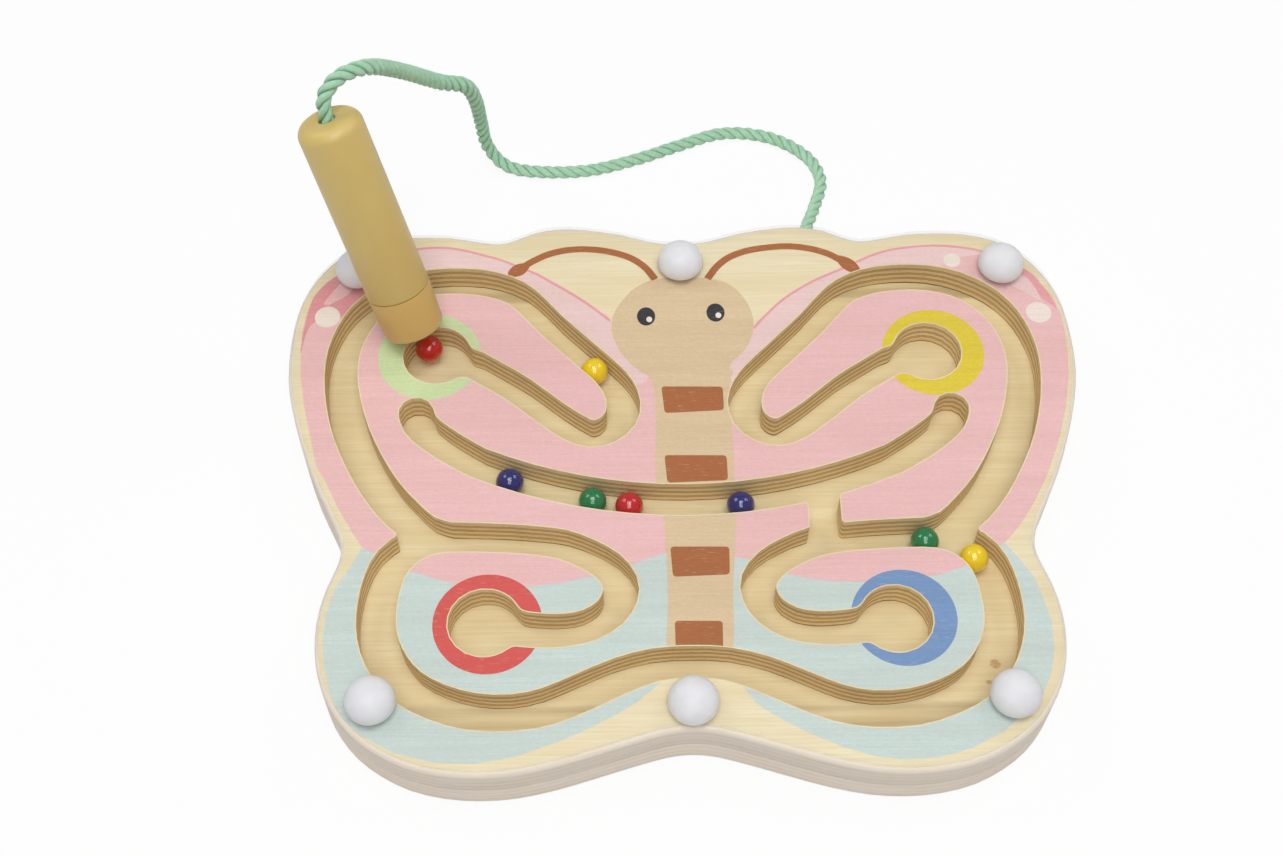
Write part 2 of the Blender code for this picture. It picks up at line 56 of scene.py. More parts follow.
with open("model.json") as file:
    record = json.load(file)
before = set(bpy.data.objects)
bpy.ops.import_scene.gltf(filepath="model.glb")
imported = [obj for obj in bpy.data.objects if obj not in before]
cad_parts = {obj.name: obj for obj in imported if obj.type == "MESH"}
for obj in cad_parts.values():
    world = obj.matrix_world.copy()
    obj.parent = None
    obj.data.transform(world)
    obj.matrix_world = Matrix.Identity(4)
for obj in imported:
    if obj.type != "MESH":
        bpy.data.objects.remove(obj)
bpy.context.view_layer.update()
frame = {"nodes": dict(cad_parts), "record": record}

BASE_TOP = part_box("base_board")[1].z
PLATE_LOW, PLATE_TOP = (corner.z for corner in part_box("maze_plate"))
MILLIMETRE = 0.001
# Share of Z in an edge's direction or a face's normal from which it counts as upright
UPRIGHT = 0.99
# Faces that meet at less than this are one face cut in facets
FACET_ANGLE = math.radians(0.5)
# Free corners of the channels: the turn past which they are rounded, and how far
CORNER_TURN = math.radians(60)
CORNER_ROUND = 0.0014
# Points closer than these are one point: after that rounding, and in general
SHORTEST_EDGE = 0.0002
WELD = 0.000002
# Slits too thin to see: between the board's layers, and how deep the ink's films sink in
GLUE_GAP = WELD * 10
INK_SINK = WELD * 5
# How far a cutter goes past the films that it cuts
OVERRUN = 0.001

# The rope's route and the pen's place and lean, as the frame has them
ROPE_ROUTE = (
    (0.0433, 0.0830, 0.0050), (0.0433, 0.0955, 0.0050), (0.0442, 0.1065, 0.0042),
    (0.0484, 0.1190, 0.0025), (0.0512, 0.1310, 0.0025), (0.0465, 0.1420, 0.0025),
    (0.0340, 0.1505, 0.0025), (0.0175, 0.1526, 0.0025), (0.0013, 0.1470, 0.0025),
    (-0.0130, 0.1412, 0.0025), (-0.0300, 0.1362, 0.0025), (-0.0470, 0.1356, 0.0025),
    (-0.0592, 0.1378, 0.0032), (-0.0659, 0.1410, 0.0104), (-0.0673, 0.1396, 0.0254),
    (-0.0678, 0.1348, 0.0411), (-0.0703, 0.1308, 0.0529), (-0.0776, 0.1238, 0.0627),
    (-0.0866, 0.1075, 0.0857), (-0.0934, 0.0928, 0.1036), (-0.1010, 0.0855, 0.1076),
    (-0.1058, 0.0810, 0.1040),
)
ROPE_LENGTH = 0.326
# The loosest part, counted in points of the route: its middle and its reach
LOOSE_MIDDLE = 17.0
LOOSE_SPREAD = 3.2
STRANDS = 3
# A strand's radius, as a share of the rope's diameter
STRAND_SHARE = 0.252
# Bottom and top of the rope's grooves, as shares of its radius: the painted shade in the grooves
# is full at the bottom and gone at the top
GROOVE_BOTTOM, GROOVE_TOP = 0.66, 0.95
PEN_TIP = Vector((-0.085806, 0.053046, 0.026682))
PEN_TILT = math.radians(24.7)
PEN_AZIMUTH = math.radians(128.3)
PEN_LENGTH = 0.0776
PEN_TOP_WALL = 0.0035
# Height of the seam above the tip: the foot's shoulder and the barrel's end
PEN_SHOULDER, PEN_SEAM = 0.0153, 0.0156
EDGE_BREAK = 0.0004
# The enamel's flat, as a share of the bead's radius below its middle
BEAD_FLAT = 0.985

# The photograph's view
CAMERA_LENS = 52.66
CAMERA_SENSOR = 36.0
CAMERA_NEAR = 0.01
CAMERA_PLACE = (-0.019776, -0.290570, 0.520256)
CAMERA_TURN = ((0.99989786, 0.00964577, -0.0105463),
               (-0.01374641, 0.85102752, -0.52494113),
               (0.00391173, 0.52503249, 0.85107319))
# Soft square lamps: name, place, width and the setting with the power
LAMPS = (("top_lamp", (0.0, -0.12, 1.25), 0.65, "top_power"),
         ("left_lamp", (-0.78, 0.50, 0.95), 0.50, "back_power"),
         ("right_lamp", (0.78, 0.50, 0.95), 0.50, "back_power"),
         ("front_lamp", (0.0, -0.75, 1.15), 0.60, "front_power"))
FLOOR_REACH = 3.0
FLOOR_DROP = 0.00005
# Share of the paper's look that is plain white, the rest being its shade and shadows
PAPER_GLOW = 0.9

# Print, in millimetres on the board, seen from above
WING_RIGHT = (
    (12, 39), (16, 40.7), (23.2, 55.2), (26.5, 59.4), (32.5, 65.8), (38.4, 70.5), (42.8, 73.4),
    (47.2, 75.8), (51.6, 77.9), (56, 80.2), (59.7, 82.2), (64.9, 84.7), (70.8, 86.6),
    (79.5, 87.8), (86.7, 88), (93.8, 87.2), (99.4, 85.9), (107, 82.8), (114.1, 77.5),
    (117.8, 73.1), (121.4, 67.4), (123.3, 60.5), (124, 52.8), (123.7, 44.4), (122.9, 36.2),
    (120.8, 25.7), (118.3, 16.9), (115.5, 9.1), (111.2, -1), (106, -10.5), (101, -18),
    (95.5, -24),
)
WING_LEFT = (
    (-12, 38.8), (-23.2, 58.7), (-26.5, 61.9), (-31, 65.9), (-36.3, 70), (-41.6, 73.7),
    (-47.5, 77.8), (-53.5, 80.8), (-59.5, 83.7), (-65.6, 85.8), (-70.9, 87.5), (-76.3, 88.7),
    (-81.6, 88.9), (-86.2, 88.5), (-93, 87.2), (-100, 85), (-107, 81.9), (-113, 77.7),
    (-115.8, 75.3), (-119.3, 70.5), (-121.7, 62.5), (-122.7, 55.5), (-122.5, 48.5),
    (-121.8, 38.5), (-119.8, 27.1), (-117, 16), (-114.3, 5.2), (-110.5, -1.3), (-106.8, -9.3),
    (-101.8, -17.9), (-98.3, -23.5),
)
# The line where the upper wings' colour meets the lower wings', from the right to the left
WING_MEETING = (
    (95.5, -24), (89, -29), (82.8, -31.9), (74.8, -34.7), (61.7, -36.8), (50.8, -36.9),
    (39.3, -36.1), (32.9, -34.9), (29.8, -34.1), (24, -31.2), (19.1, -28.8), (14.3, -28.2),
    (3, -27), (-7.1, -26.7), (-12.7, -28.4), (-15.7, -29.7), (-21, -32), (-27.4, -34.1),
    (-31.1, -34.4), (-37.8, -36), (-47.5, -37.1), (-57.9, -37.1), (-70.1, -35.9),
    (-75.1, -34.5), (-80, -32.8), (-83.1, -31.9), (-90, -28.2), (-98.3, -23.5),
)
LOWER_LEFT = (
    (-101.6, -30.4), (-105.4, -37.2), (-107.5, -45.3), (-107.8, -53.9), (-106.9, -61.8),
    (-104.7, -70.8), (-100.7, -78.5), (-94.4, -84.2), (-85.4, -89.2), (-73.7, -92.4),
    (-62.2, -92.9), (-50.7, -90.9), (-39.1, -86.7), (-30.4, -82.8), (-21.6, -78.2),
    (-15.7, -74.4), (-9.1, -68.4),
)
LOWER_RIGHT = (
    (14.1, -69.6), (18.2, -75.5), (24.8, -80.2), (33.1, -84.9), (42, -88.9), (50.9, -92),
    (60, -93), (69.1, -92.5), (78.5, -90), (88.3, -84.9), (95.1, -79.1), (100.7, -73.8),
    (104.1, -67.2), (106.1, -59), (106.3, -50), (104.7, -42.2), (103, -35.7), (100.3, -31.4),
)
PALE_RIGHT = (
    (12, 38), (15, 41), (23.2, 56), (26.5, 60), (32.5, 66.4), (38.4, 71.1), (47.2, 76.4),
    (56, 80.6), (64.9, 85), (70.8, 86.8), (79.5, 87.9), (86.7, 88.1), (93.8, 87.3), (99.4, 86),
    (103.5, 84.3), (98, 84), (91, 82.5), (84, 79), (72, 76), (62, 74), (52, 70), (42, 60),
    (30, 46), (20, 34),
)
PALE_LEFT = (
    (-11, 38), (-23.2, 59.5), (-26.5, 62.6), (-36.3, 70.8), (-47.5, 78.5), (-59.5, 84),
    (-65.6, 86), (-70.9, 87.6), (-76.3, 88.8), (-81.6, 89), (-86.2, 88.6), (-93, 87.3),
    (-98, 85.8), (-101, 84.2), (-96, 83.6), (-90, 82), (-82, 79), (-72, 76), (-62, 74),
    (-52, 70), (-42, 60), (-30, 46), (-20, 34),
)
BLUSH_RIGHT = (
    (104, 84), (107, 82.8), (112.8, 78.9), (114.3, 77.3), (117.8, 73.1), (120.6, 68),
    (122.5, 62.1), (120.7, 63.8), (117.9, 66.7), (116.3, 70.5), (114.6, 73.6), (112.2, 76.2),
    (107, 79),
)
# The left wing's rose band along the edge, made wider and deeper as a painted shadow of the pen
BLUSH_AND_PEN_SHADOW_LEFT = (
    (-103, 83.6), (-107, 81.9), (-113, 77.7), (-115.8, 75.3), (-119.3, 70.5), (-121, 65.5),
    (-121.6, 61.6), (-122.3, 55), (-122.5, 47), (-121.6, 53), (-120.3, 57.5), (-117.5, 60),
    (-112, 61), (-107, 62), (-103, 66), (-99, 70), (-97, 76), (-99, 81),
)
GLEAM_RIGHT = (
    (109.5, 74.6), (113.2, 75.3), (115.3, 72.6), (117, 68.9), (117.4, 65.5), (114.9, 66.9),
    (111.4, 69.6), (108.2, 72.4),
)
GLEAM_LEFT = (
    (-116.4, 66.4), (-115.5, 68.7), (-113.3, 72.1), (-111, 74.9), (-107.4, 73.2),
    (-109.3, 69.7), (-112.9, 67.2), (-114.9, 65.9),
)
# Ovals: middle, then half width and half depth
WING_SPOTS = ((116.3, 60.5, 4.1, 4.1), (-114.9, 61.2, 4.1, 4.1), (90.2, 81.9, 2.8, 2.8),
              (-90.2, 81.9, 2.8, 2.8))
RINGS = {
    "yellow": (80.5, 45.5, 16.4, 16.4), "green": (-81.1, 45.5, 16.5, 16.5),
    "red": (-59.8, -49.3, 16.2, 16.2), "blue": (63.0, -48.6, 15.7, 15.7),
}
HEAD = (
    (0.4, 76.1), (-4, 75.8), (-8.4, 75.1), (-12.2, 73.6), (-16.1, 70.7), (-19.4, 66.3),
    (-21.9, 61.7), (-22.7, 57.1), (-22.2, 52.5), (-20.3, 47.3), (-17.4, 42.8), (-14.3, 39.6),
    (-10.4, 36.8), (-6, 35.4), (10.5, 35.4), (14.2, 37), (15.6, 42.2), (18.4, 45),
    (21.2, 48.8), (22.6, 52.7), (23.2, 55.9), (23.1, 59.9), (21.9, 64.6), (18.9, 69.9),
    (14.6, 73.7), (9.8, 75.2), (4.8, 75.9),
)
EYES = ((-11.5, 60.3, 2.95, 3.6), (11.1, 61.6, 2.95, 3.6))
EYE_GLEAMS = ((-10.5, 59.1, 0.95, 1.1), (12.0, 60.5, 0.95, 1.1))
BODY = (
    (-9.6, 40), (-9.4, 33), (-9.0, 22.2), (-9.4, -0.3), (-7.4, -14), (-6.6, -29.5),
    (-6.6, -43.1), (-5.9, -64), (10.6, -64), (12.9, -38.2), (14.1, -23.8), (14.8, -12.7),
    (14.8, 0), (14.8, 14.9), (14.3, 32.5), (14.3, 40),
)
BODY_FOOT = ((8, -64), (-3, -64))
STRIPES = (
    ((-7.1, 33.2), (12.4, 32.9), (12.5, 24.1), (-6.2, 23.2)),
    ((-6.6, 7.8), (12.7, 7.5), (12.8, -1.4), (-5.9, -2.1)),
    ((-5.5, -24.3), (12.3, -24.5), (12.1, -33.9), (-4.9, -34.5)),
    ((-4.7, -49), (9.4, -49.2), (9.2, -60), (-4.6, -60)),
)
STRIPE_ROUND = 1.3
FEELERS = (
    ((8.9, 75.2), (12.2, 80.2), (16.3, 83.9), (22.1, 86.5), (29.3, 87.9), (36.5, 88.3),
     (43.6, 87.2), (49.2, 85.1), (53, 82.6)),
    ((-8.3, 75.2), (-11.6, 80.1), (-16.5, 84.1), (-23.1, 86.6), (-29.7, 87.7), (-36.4, 87.6),
     (-43, 86), (-48.3, 83.2), (-51.5, 80.9)),
)
FEELER_HALF_WIDTH = 1.2
# Feeler tips: two ends and the half width
FEELER_TIPS = (((51.9, 84.2), (59.2, 77.2), 2.3), ((-49.6, 81.8), (-56.6, 77.3), 2.3))
# The stretches of the upper wings' edges that are drawn as a line
WING_LINES = (WING_RIGHT[2:20], WING_LEFT[1:18])
WING_LINE_HALF_WIDTH = 0.42

# Veneers of a 10 mm layer from its underside up: where each ends, and its cut
VENEERS = ((0.20, "ply_pale"), (0.29, "ply_dark"), (0.46, "ply_pale"), (0.54, "ply_dark"),
           (0.71, "ply_pale"), (0.79, "ply_dark"), (1.0, "ply_pale"))
# Half of a glue line's width, as a share of the layer's thickness
GLUE_SHARE = 0.018
# Pin knots: middle and radius
KNOTS = (((0.0904, -0.0592, BASE_TOP), 0.0019), ((0.0878, -0.0651, BASE_TOP), 0.0010))


def linear(code):
    """A colour written as sRGB hex, in the linear values that the shaders work in."""
    channels = [int(code[start:start + 2], 16) / 255 for start in (1, 3, 5)]
    return tuple(value / 12.92 if value <= 0.04045 else ((value + 0.055) / 1.055) ** 2.4
                 for value in channels) + (1.0,)


def tinted(colour, tint):
    """A colour multiplied by a tint."""
    return tuple(value * share for value, share in zip(colour, tint))


WHITE = linear("#FFFFFF")


def colour_setting(name, code, description):
    """A colour that the panel shows."""
    return FloatVectorProperty(name=name, description=description, subtype="COLOR", size=4,
                               min=0, max=1, default=linear(code))


def length_setting(name, metres, description):
    """A length that the panel shows."""
    return FloatProperty(name=name, description=description, unit="LENGTH", default=metres,
                         min=0, precision=5)


class WoodSettings(bpy.types.PropertyGroup):
    """Plywood"""

    grain_width: length_setting("Grain width", 0.0007, "Distance between fine grain lines")
    band_width: length_setting("Band width", 0.011, "Distance between broad growth bands")
    face: colour_setting("Face", "#F0E3C4", "Sanded birch of the plate's bare border")
    face_dark: colour_setting("Face grain", "#E2CB9B", "Darker grain of that face")
    floor: colour_setting("Floor", "#ECDDB4", "Sanded birch of the channels' floor")
    floor_dark: colour_setting("Floor grain", "#DBC390", "Darker grain of the floor")
    ply_pale: colour_setting("Pale ply", "#F7E2B2", "Veneers cut along the grain")
    ply_dark: colour_setting("Dark ply", "#DDB980", "Veneers cut across the grain")
    glue: colour_setting("Glue line", "#84592B", "Thin lines between the veneers")
    wash: colour_setting("White wash", "#E9DFD4", "Thin grey-white paint on the outer edge")
    knot: colour_setting("Knot", "#B07C45", "Small pin knots in the channels' floor")


class PrintSettings(bpy.types.PropertyGroup):
    """Printed butterfly"""

    margin: length_setting("Margin", 0.00035, "Bare line that the print leaves at a routed edge")
    coat: length_setting("Coat", 0.00002, "Thickness of one coat of ink")
    pink: colour_setting("Pink", "#F2C4C5", "Upper wings")
    pale: colour_setting("Pale pink", "#F3D3D2", "Inner edges of the upper wings")
    rose: colour_setting("Rose", "#F0A8AE", "Line and blush at the upper wings' edge")
    # The blush colour is the rose band deepened by a painted shadow of the pen, used on the upper
    # left wing only
    blush: colour_setting("Blush", "#E79EA3", "Deeper blush on the upper left wing")
    mint: colour_setting("Mint", "#D0DEDB", "Lower wings")
    white: colour_setting("White", "#F6E8DE", "Spots on the wings")
    tan: colour_setting("Tan", "#E3CAA6", "Head and body")
    brown: colour_setting("Brown", "#B16C3D", "Stripes and feelers")
    black: colour_setting("Black", "#35343A", "Eyes")
    yellow: colour_setting("Yellow", "#E8D13C", "Ring at the upper right pocket")
    green: colour_setting("Green", "#D2E3AE", "Ring at the upper left pocket")
    red: colour_setting("Red", "#DE5C58", "Ring at the lower left pocket")
    blue: colour_setting("Blue", "#7B9CCB", "Ring at the lower right pocket")


class FittingSettings(bpy.types.PropertyGroup):
    """Cover, rivets, beads and pen"""

    rivet_head: length_setting("Rivet head", 0.0148, "Diameter of a rivet's head")
    rivet_dome: length_setting("Rivet dome", 0.0060, "Height of a rivet's dome above its rim")
    rivet_rim: length_setting("Rivet rim", 0.0009, "Height of the rim under the dome")
    rivet_steps: IntProperty(name="Rivet steps", description="Sides of a rivet", default=64)
    bead_steps: IntProperty(name="Bead steps", description="Sides of a bead", default=56)
    pen_width: length_setting("Pen width", 0.0203, "Diameter of the pen")
    pen_steps: IntProperty(name="Pen steps", description="Sides of the pen", default=112)
    nylon: colour_setting("Nylon", "#E0E0E3", "Moulded rivets")
    pen: colour_setting("Pen", "#D4B96F", "Moulded pen")
    foot: colour_setting("Foot", "#D1AC63", "Moulded foot of the pen")
    red: colour_setting("Red bead", "#C4161E", "Enamel of the red beads")
    yellow: colour_setting("Yellow bead", "#F8D40E", "Enamel of the yellow beads")
    green: colour_setting("Green bead", "#127A44", "Enamel of the green beads")
    blue: colour_setting("Blue bead", "#23236E", "Enamel of the blue beads")


class RopeSettings(bpy.types.PropertyGroup):
    """Twisted rope"""

    diameter: length_setting("Diameter", 0.0045, "Diameter over the strands")
    lay: length_setting("Lay", 0.0118, "Length of one turn of a strand")
    yarn_lay: length_setting("Yarn lay", 0.0300, "Length of one turn of a strand's own yarns")
    yarns: IntProperty(name="Yarns", description="Yarns seen round a strand", default=9)
    loosening: FloatProperty(name="Loosening", default=0.20, min=0, max=0.3,
                             description="Share by which the raised part's strands swell")
    steps: IntProperty(name="Steps", description="Points between two of the route's", default=24)
    thread: colour_setting("Thread", "#D2FCDA", "Cotton of the rope")
    # On the rope the darker thread colour between the yarns and the deepest one in the grooves of
    # the lay are painted shade; on the knot the darker colour is a random yarn tone
    thread_dark: colour_setting("Thread shade", "#72C493", "Cotton between the yarns")
    thread_deep: colour_setting("Thread deep", "#469F6B", "Cotton in the grooves of the lay")


class StageSettings(bpy.types.PropertyGroup):
    """Light"""

    top_power: FloatProperty(name="Top lamp", description="Power of the lamp overhead",
                             unit="POWER", default=6.8)
    back_power: FloatProperty(name="Back lamps", description="Power of each lamp behind",
                              unit="POWER", default=2.2)
    front_power: FloatProperty(name="Front lamp", description="Power of the lamp in front",
                               unit="POWER", default=4.5)
    sky: FloatProperty(name="Sky", description="Strength of the light all round", default=0.27)


def add_node(material, kind, settings=None, inputs=None, output=0):
    """Add a shader node and give one output. A socket is linked, any other value is set."""
    tree = material.node_tree
    made = tree.nodes.new(kind)
    for name, value in (settings or {}).items():
        setattr(made, name, value)
    for name, value in (inputs or {}).items():
        if isinstance(value, bpy.types.NodeSocket):
            tree.links.new(value, made.inputs[name])
        else:
            made.inputs[name].default_value = value
    return made.outputs[output] if len(made.outputs) else None


def new_material(name):
    """A material with an empty node tree."""
    material = bpy.data.materials.new(name)
    material.use_nodes = True
    material.node_tree.nodes.clear()
    return material


def grain_pattern(material, size, detail=2.0, wander=0.0, low=0.35, high=0.65):
    """Spots from 0 to 1 of a size in metres, or lines as long, wide and high as it says."""
    if not isinstance(size, tuple):
        size = (size, size, size)
    place = add_node(material, "ShaderNodeTexCoord", output="Object")
    scaled = add_node(material, "ShaderNodeMapping", None,
                      {"Vector": place, "Scale": tuple(1 / length for length in size)})
    noise = add_node(material, "ShaderNodeTexNoise", None,
                     {"Vector": scaled, "Scale": 1.0, "Detail": detail, "Distortion": wander})
    return add_node(material, "ShaderNodeMapRange", None,
                    {"Value": noise, "From Min": low, "From Max": high})


def stained(material, base, stains):
    """A colour with stains over it, each a pattern, its strength and its own colour."""
    for pattern, strength, colour in stains:
        share = add_node(material, "ShaderNodeMath", {"operation": "MULTIPLY"},
                         {0: pattern, 1: strength})
        base = add_node(material, "ShaderNodeMix", {"data_type": "RGBA"},
                        {0: share, 6: base, 7: colour}, 2)
    return base


def finished(material, colour, sheen, relief=None, more=None):
    """Close a material: colour, a pattern's roughness from low to high, and relief."""
    pattern, low, high = sheen
    inputs = {
        "Base Color": colour,
        "Roughness": add_node(material, "ShaderNodeMapRange", None,
                              {"Value": pattern, "To Min": low, "To Max": high}),
    }
    if relief:
        height, depth, strength = relief
        inputs["Normal"] = add_node(material, "ShaderNodeBump", None,
                                    {"Height": height, "Distance": depth, "Strength": strength})
    shader = add_node(material, "ShaderNodeBsdfPrincipled", None, {**inputs, **(more or {})})
    add_node(material, "ShaderNodeOutputMaterial", None, {"Surface": shader})
    return material


def birch_figure(material, wood):
    """Fine fibres, broad growth bands and pores along X, as a rotary-cut birch face shows."""
    fibres = grain_pattern(material, (wood.grain_width * 40, wood.grain_width, 0.004),
                           detail=3.0)
    bands = grain_pattern(material, (wood.band_width * 9, wood.band_width, 0.02), wander=0.6)
    # Birch's pores are about 0.1 mm wide, too fine to show, so they are drawn 0.35 mm wide
    pores = grain_pattern(material, (0.0035, 0.00035, 0.002), detail=1.0, low=0.66, high=0.74)
    return fibres, bands, pores


def pin_knot(material, place, size):
    """A pattern that is 1 in a small knot's core and falls to 0 round it, with ragged rings."""
    coordinates = add_node(material, "ShaderNodeTexCoord", output="Object")
    centred = add_node(material, "ShaderNodeMapping", {"vector_type": "TEXTURE"},
                       {"Vector": coordinates, "Location": place,
                        "Scale": (size * 1.15, size, size)})
    ball = add_node(material, "ShaderNodeTexGradient", {"gradient_type": "SPHERICAL"},
                    {"Vector": centred}, "Fac")
    ragged = grain_pattern(material, (0.0012, 0.0008, 0.001), low=0.25, high=0.6)
    core = add_node(material, "ShaderNodeMath", {"operation": "MULTIPLY"}, {0: ball, 1: ragged})
    return add_node(material, "ShaderNodeMapRange", None,
                    {"Value": core, "From Min": 0.05, "From Max": 0.35})


def birch_face(name, wood, pale, dark, knots=()):
    """Birch ply's face, sanded: pale, low in contrast, with straight fibres and small pores."""
    material = new_material(name)
    fibres, bands, pores = birch_figure(material, wood)
    stains = [(fibres, 0.45, dark), (bands, 0.40, dark), (pores, 0.22, wood.ply_dark)]
    stains += [(pin_knot(material, *knot), 0.6, wood.knot) for knot in knots]
    return finished(material, stained(material, pale, stains), (fibres, 0.50, 0.62),
                    (fibres, 0.00004, 0.6), {"Specular IOR Level": 0.35})


def veneer_tones(material, wood, low, high):
    """Veneers by height between two levels, parted by thin wavy glue lines."""
    place = add_node(material, "ShaderNodeTexCoord", output="Object")
    height = add_node(material, "ShaderNodeSeparateXYZ", None, {"Vector": place}, "Z")
    wave = grain_pattern(material, (0.014, 0.014, 0.006), low=0.0, high=1.0)
    waver = add_node(material, "ShaderNodeMapRange", None,
                     {"Value": wave, "To Min": -0.0005, "To Max": 0.0005})
    level = add_node(material, "ShaderNodeMath", {"operation": "ADD"}, {0: height, 1: waver})
    share = add_node(material, "ShaderNodeMapRange", None,
                     {"Value": level, "From Min": low, "From Max": high})
    tones = add_node(material, "ShaderNodeValToRGB", None, {0: share})
    bands = tones.node.color_ramp.elements
    bands[0].color = wood.glue
    bands[1].color = getattr(wood, VENEERS[-1][1])
    bands.new(2 * GLUE_SHARE).color = getattr(wood, VENEERS[0][1])
    for (end, tone), (_, after) in zip(VENEERS, VENEERS[1:]):
        bands.new(end - GLUE_SHARE).color = getattr(wood, tone)
        bands.new(end).color = wood.glue
        bands.new(end + GLUE_SHARE).color = getattr(wood, after)
    # Fibre ends are about 0.1 mm thick, too fine to show, so they are drawn 0.3 mm thick
    streaks = grain_pattern(material, (0.007, 0.007, 0.00030), detail=3.0)
    flecks = grain_pattern(material, (0.0012, 0.0012, 0.00028), detail=1.0, low=0.60, high=0.70)
    scorch = grain_pattern(material, (0.016, 0.016, 0.008), low=0.45, high=0.75)
    tone = stained(material, tones, [(streaks, 0.28, wood.ply_dark), (flecks, 0.30, wood.glue),
                                     (scorch, 0.14, wood.glue)])
    return tone, streaks


def ply_wall(name, wood, low, high):
    """Ply's edge, routed: striped veneers, torn end fibres and a little scorch, matt."""
    material = new_material(name)
    tone, streaks = veneer_tones(material, wood, low, high)
    return finished(material, tone, (streaks, 0.62, 0.74), (streaks, 0.00012, 0.7),
                    {"Specular IOR Level": 0.25})


def washed_edge(name, wood, low, high):
    """Ply's edge under thin white paint: grey-white, with the veneers faintly through it."""
    material = new_material(name)
    tone, streaks = veneer_tones(material, wood, low, high)
    wear = grain_pattern(material, (0.02, 0.02, 0.0012), detail=4.0)
    cover = add_node(material, "ShaderNodeMapRange", None,
                     {"Value": wear, "To Min": 0.92, "To Max": 0.72})
    return finished(material, stained(material, tone, [(cover, 1.0, wood.wash)]),
                    (wear, 0.55, 0.66), (streaks, 0.00008, 0.6), {"Specular IOR Level": 0.3})


def screen_ink(name, wood, colour):
    """Screen ink on birch: flat and matt, with the wood's fibres and pores faintly through it."""
    material = new_material(name)
    fibres, bands, pores = birch_figure(material, wood)
    deeper = tinted(colour, linear("#D2C3B4"))
    # The screen's mesh leaves dots of about 0.2 mm, drawn up to 1 mm wide to show
    speckle = grain_pattern(material, (0.0010, 0.0006, 0.0010))
    tone = stained(material, colour, [
        (fibres, 0.16, deeper), (bands, 0.14, deeper), (speckle, 0.16, deeper),
        (pores, 0.22, wood.face)])
    return finished(material, tone, (fibres, 0.52, 0.60), (fibres, 0.00002, 0.5),
                    {"Specular IOR Level": 0.3})


def copy_of_node(node):
    """A merged copy of a frame node's mesh."""
    shape = bmesh.new()
    shape.from_mesh(frame["nodes"][node].data)
    bmesh.ops.remove_doubles(shape, verts=shape.verts, dist=WELD)
    return shape


def layer_shape(node):
    """A board layer's shape, glued down to the layer below, its channels' corners rounded."""
    shape = copy_of_node(node)
    for corner in shape.verts:
        if abs(corner.co.z - PLATE_LOW) < WELD:
            corner.co.z = BASE_TOP + GLUE_GAP
    inside_walls = [edge for edge in shape.edges
                    if all(abs(face.normal.z) < 1 - UPRIGHT for face in edge.link_faces)]
    bmesh.ops.dissolve_limit(shape, angle_limit=FACET_ANGLE, verts=[], edges=inside_walls)
    corners = [edge for edge in shape.edges
               if edge.is_convex and edge.calc_face_angle(0) > CORNER_TURN
               and abs((edge.verts[1].co - edge.verts[0].co).normalized().z) > UPRIGHT]
    if corners:
        bmesh.ops.bevel(shape, geom=corners, offset=CORNER_ROUND, offset_type="OFFSET",
                        segments=5, profile=0.5, affect="EDGES", material=-1)
        bmesh.ops.remove_doubles(shape, verts=shape.verts, dist=SHORTEST_EDGE)
    return shape


def to_mesh(name, shape):
    """The mesh of a finished shape."""
    mesh = bpy.data.meshes.new(name)
    shape.to_mesh(mesh)
    shape.free()
    return mesh


def worked_out(holder):
    """The mesh of a curve or of an object with modifiers, which is then removed."""
    bpy.context.view_layer.update()
    evaluated = holder.evaluated_get(bpy.context.evaluated_depsgraph_get())
    mesh = bpy.data.meshes.new_from_object(evaluated)
    bpy.data.objects.remove(holder, do_unlink=True)
    return mesh


def placed(name, mesh, materials, body, smooth=math.radians(35)):
    """An object for a finished mesh, with its materials, smooth faces and body."""
    for material in materials:
        mesh.materials.append(material)
    mesh.shade_smooth()
    mesh.set_sharp_from_angle(angle=smooth)
    piece = bpy.data.objects.new(name, mesh)
    bpy.context.scene.collection.objects.link(piece)
    if body:
        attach(piece, body)
    return piece


def smooth_line(points, steps, closed=False):
    """Points on a smooth curve through the given points."""
    points = [Vector(point) for point in points]
    count = len(points)
    spans = count if closed else count - 1
    result = []
    for span in range(spans):
        start, end = points[span], points[(span + 1) % count]
        before = points[span - 1] if closed or span > 0 else 2 * start - end
        after = points[(span + 2) % count] if closed or span < spans - 1 else 2 * end - start
        for step in range(steps):
            t = step / steps
            result.append(0.5 * (2 * start + (end - before) * t
                                 + (2 * before - 5 * start + 4 * end - after) * t ** 2
                                 + (3 * start - before - 3 * end + after) * t ** 3))
    if not closed:
        result.append(points[-1])
    return result


def turned(profile, steps):
    """A turned shape: a profile of radius and height spun about Z."""
    shape = bmesh.new()
    corners = [shape.verts.new((radius, 0, height)) for radius, height in profile]
    for pair in zip(corners, corners[1:]):
        shape.edges.new(pair)
    bmesh.ops.spin(shape, geom=shape.verts[:] + shape.edges[:], cent=(0, 0, 0), axis=(0, 0, 1),
                   angle=math.tau, steps=steps, use_merge=True)
    bmesh.ops.remove_doubles(shape, verts=shape.verts, dist=WELD)
    bmesh.ops.recalc_face_normals(shape, faces=shape.faces)
    return shape


def arc(centre, radius, start, end, steps):
    """Profile points on an arc, with angles in degrees from the profile's outward axis."""
    points = []
    for step in range(steps + 1):
        angle = math.radians(start + (end - start) * step / steps)
        points.append((centre[0] + radius * math.cos(angle),
                       centre[1] + radius * math.sin(angle)))
    return points


def pen_frame():
    """The pen's own frame: origin at the tip face's middle, Z along the pen."""
    axis = Vector((math.cos(PEN_AZIMUTH) * math.sin(PEN_TILT),
                   math.sin(PEN_AZIMUTH) * math.sin(PEN_TILT), math.cos(PEN_TILT)))
    turn = Vector((0, 0, 1)).rotation_difference(axis).to_matrix().to_4x4()
    return Matrix.Translation(PEN_TIP) @ turn


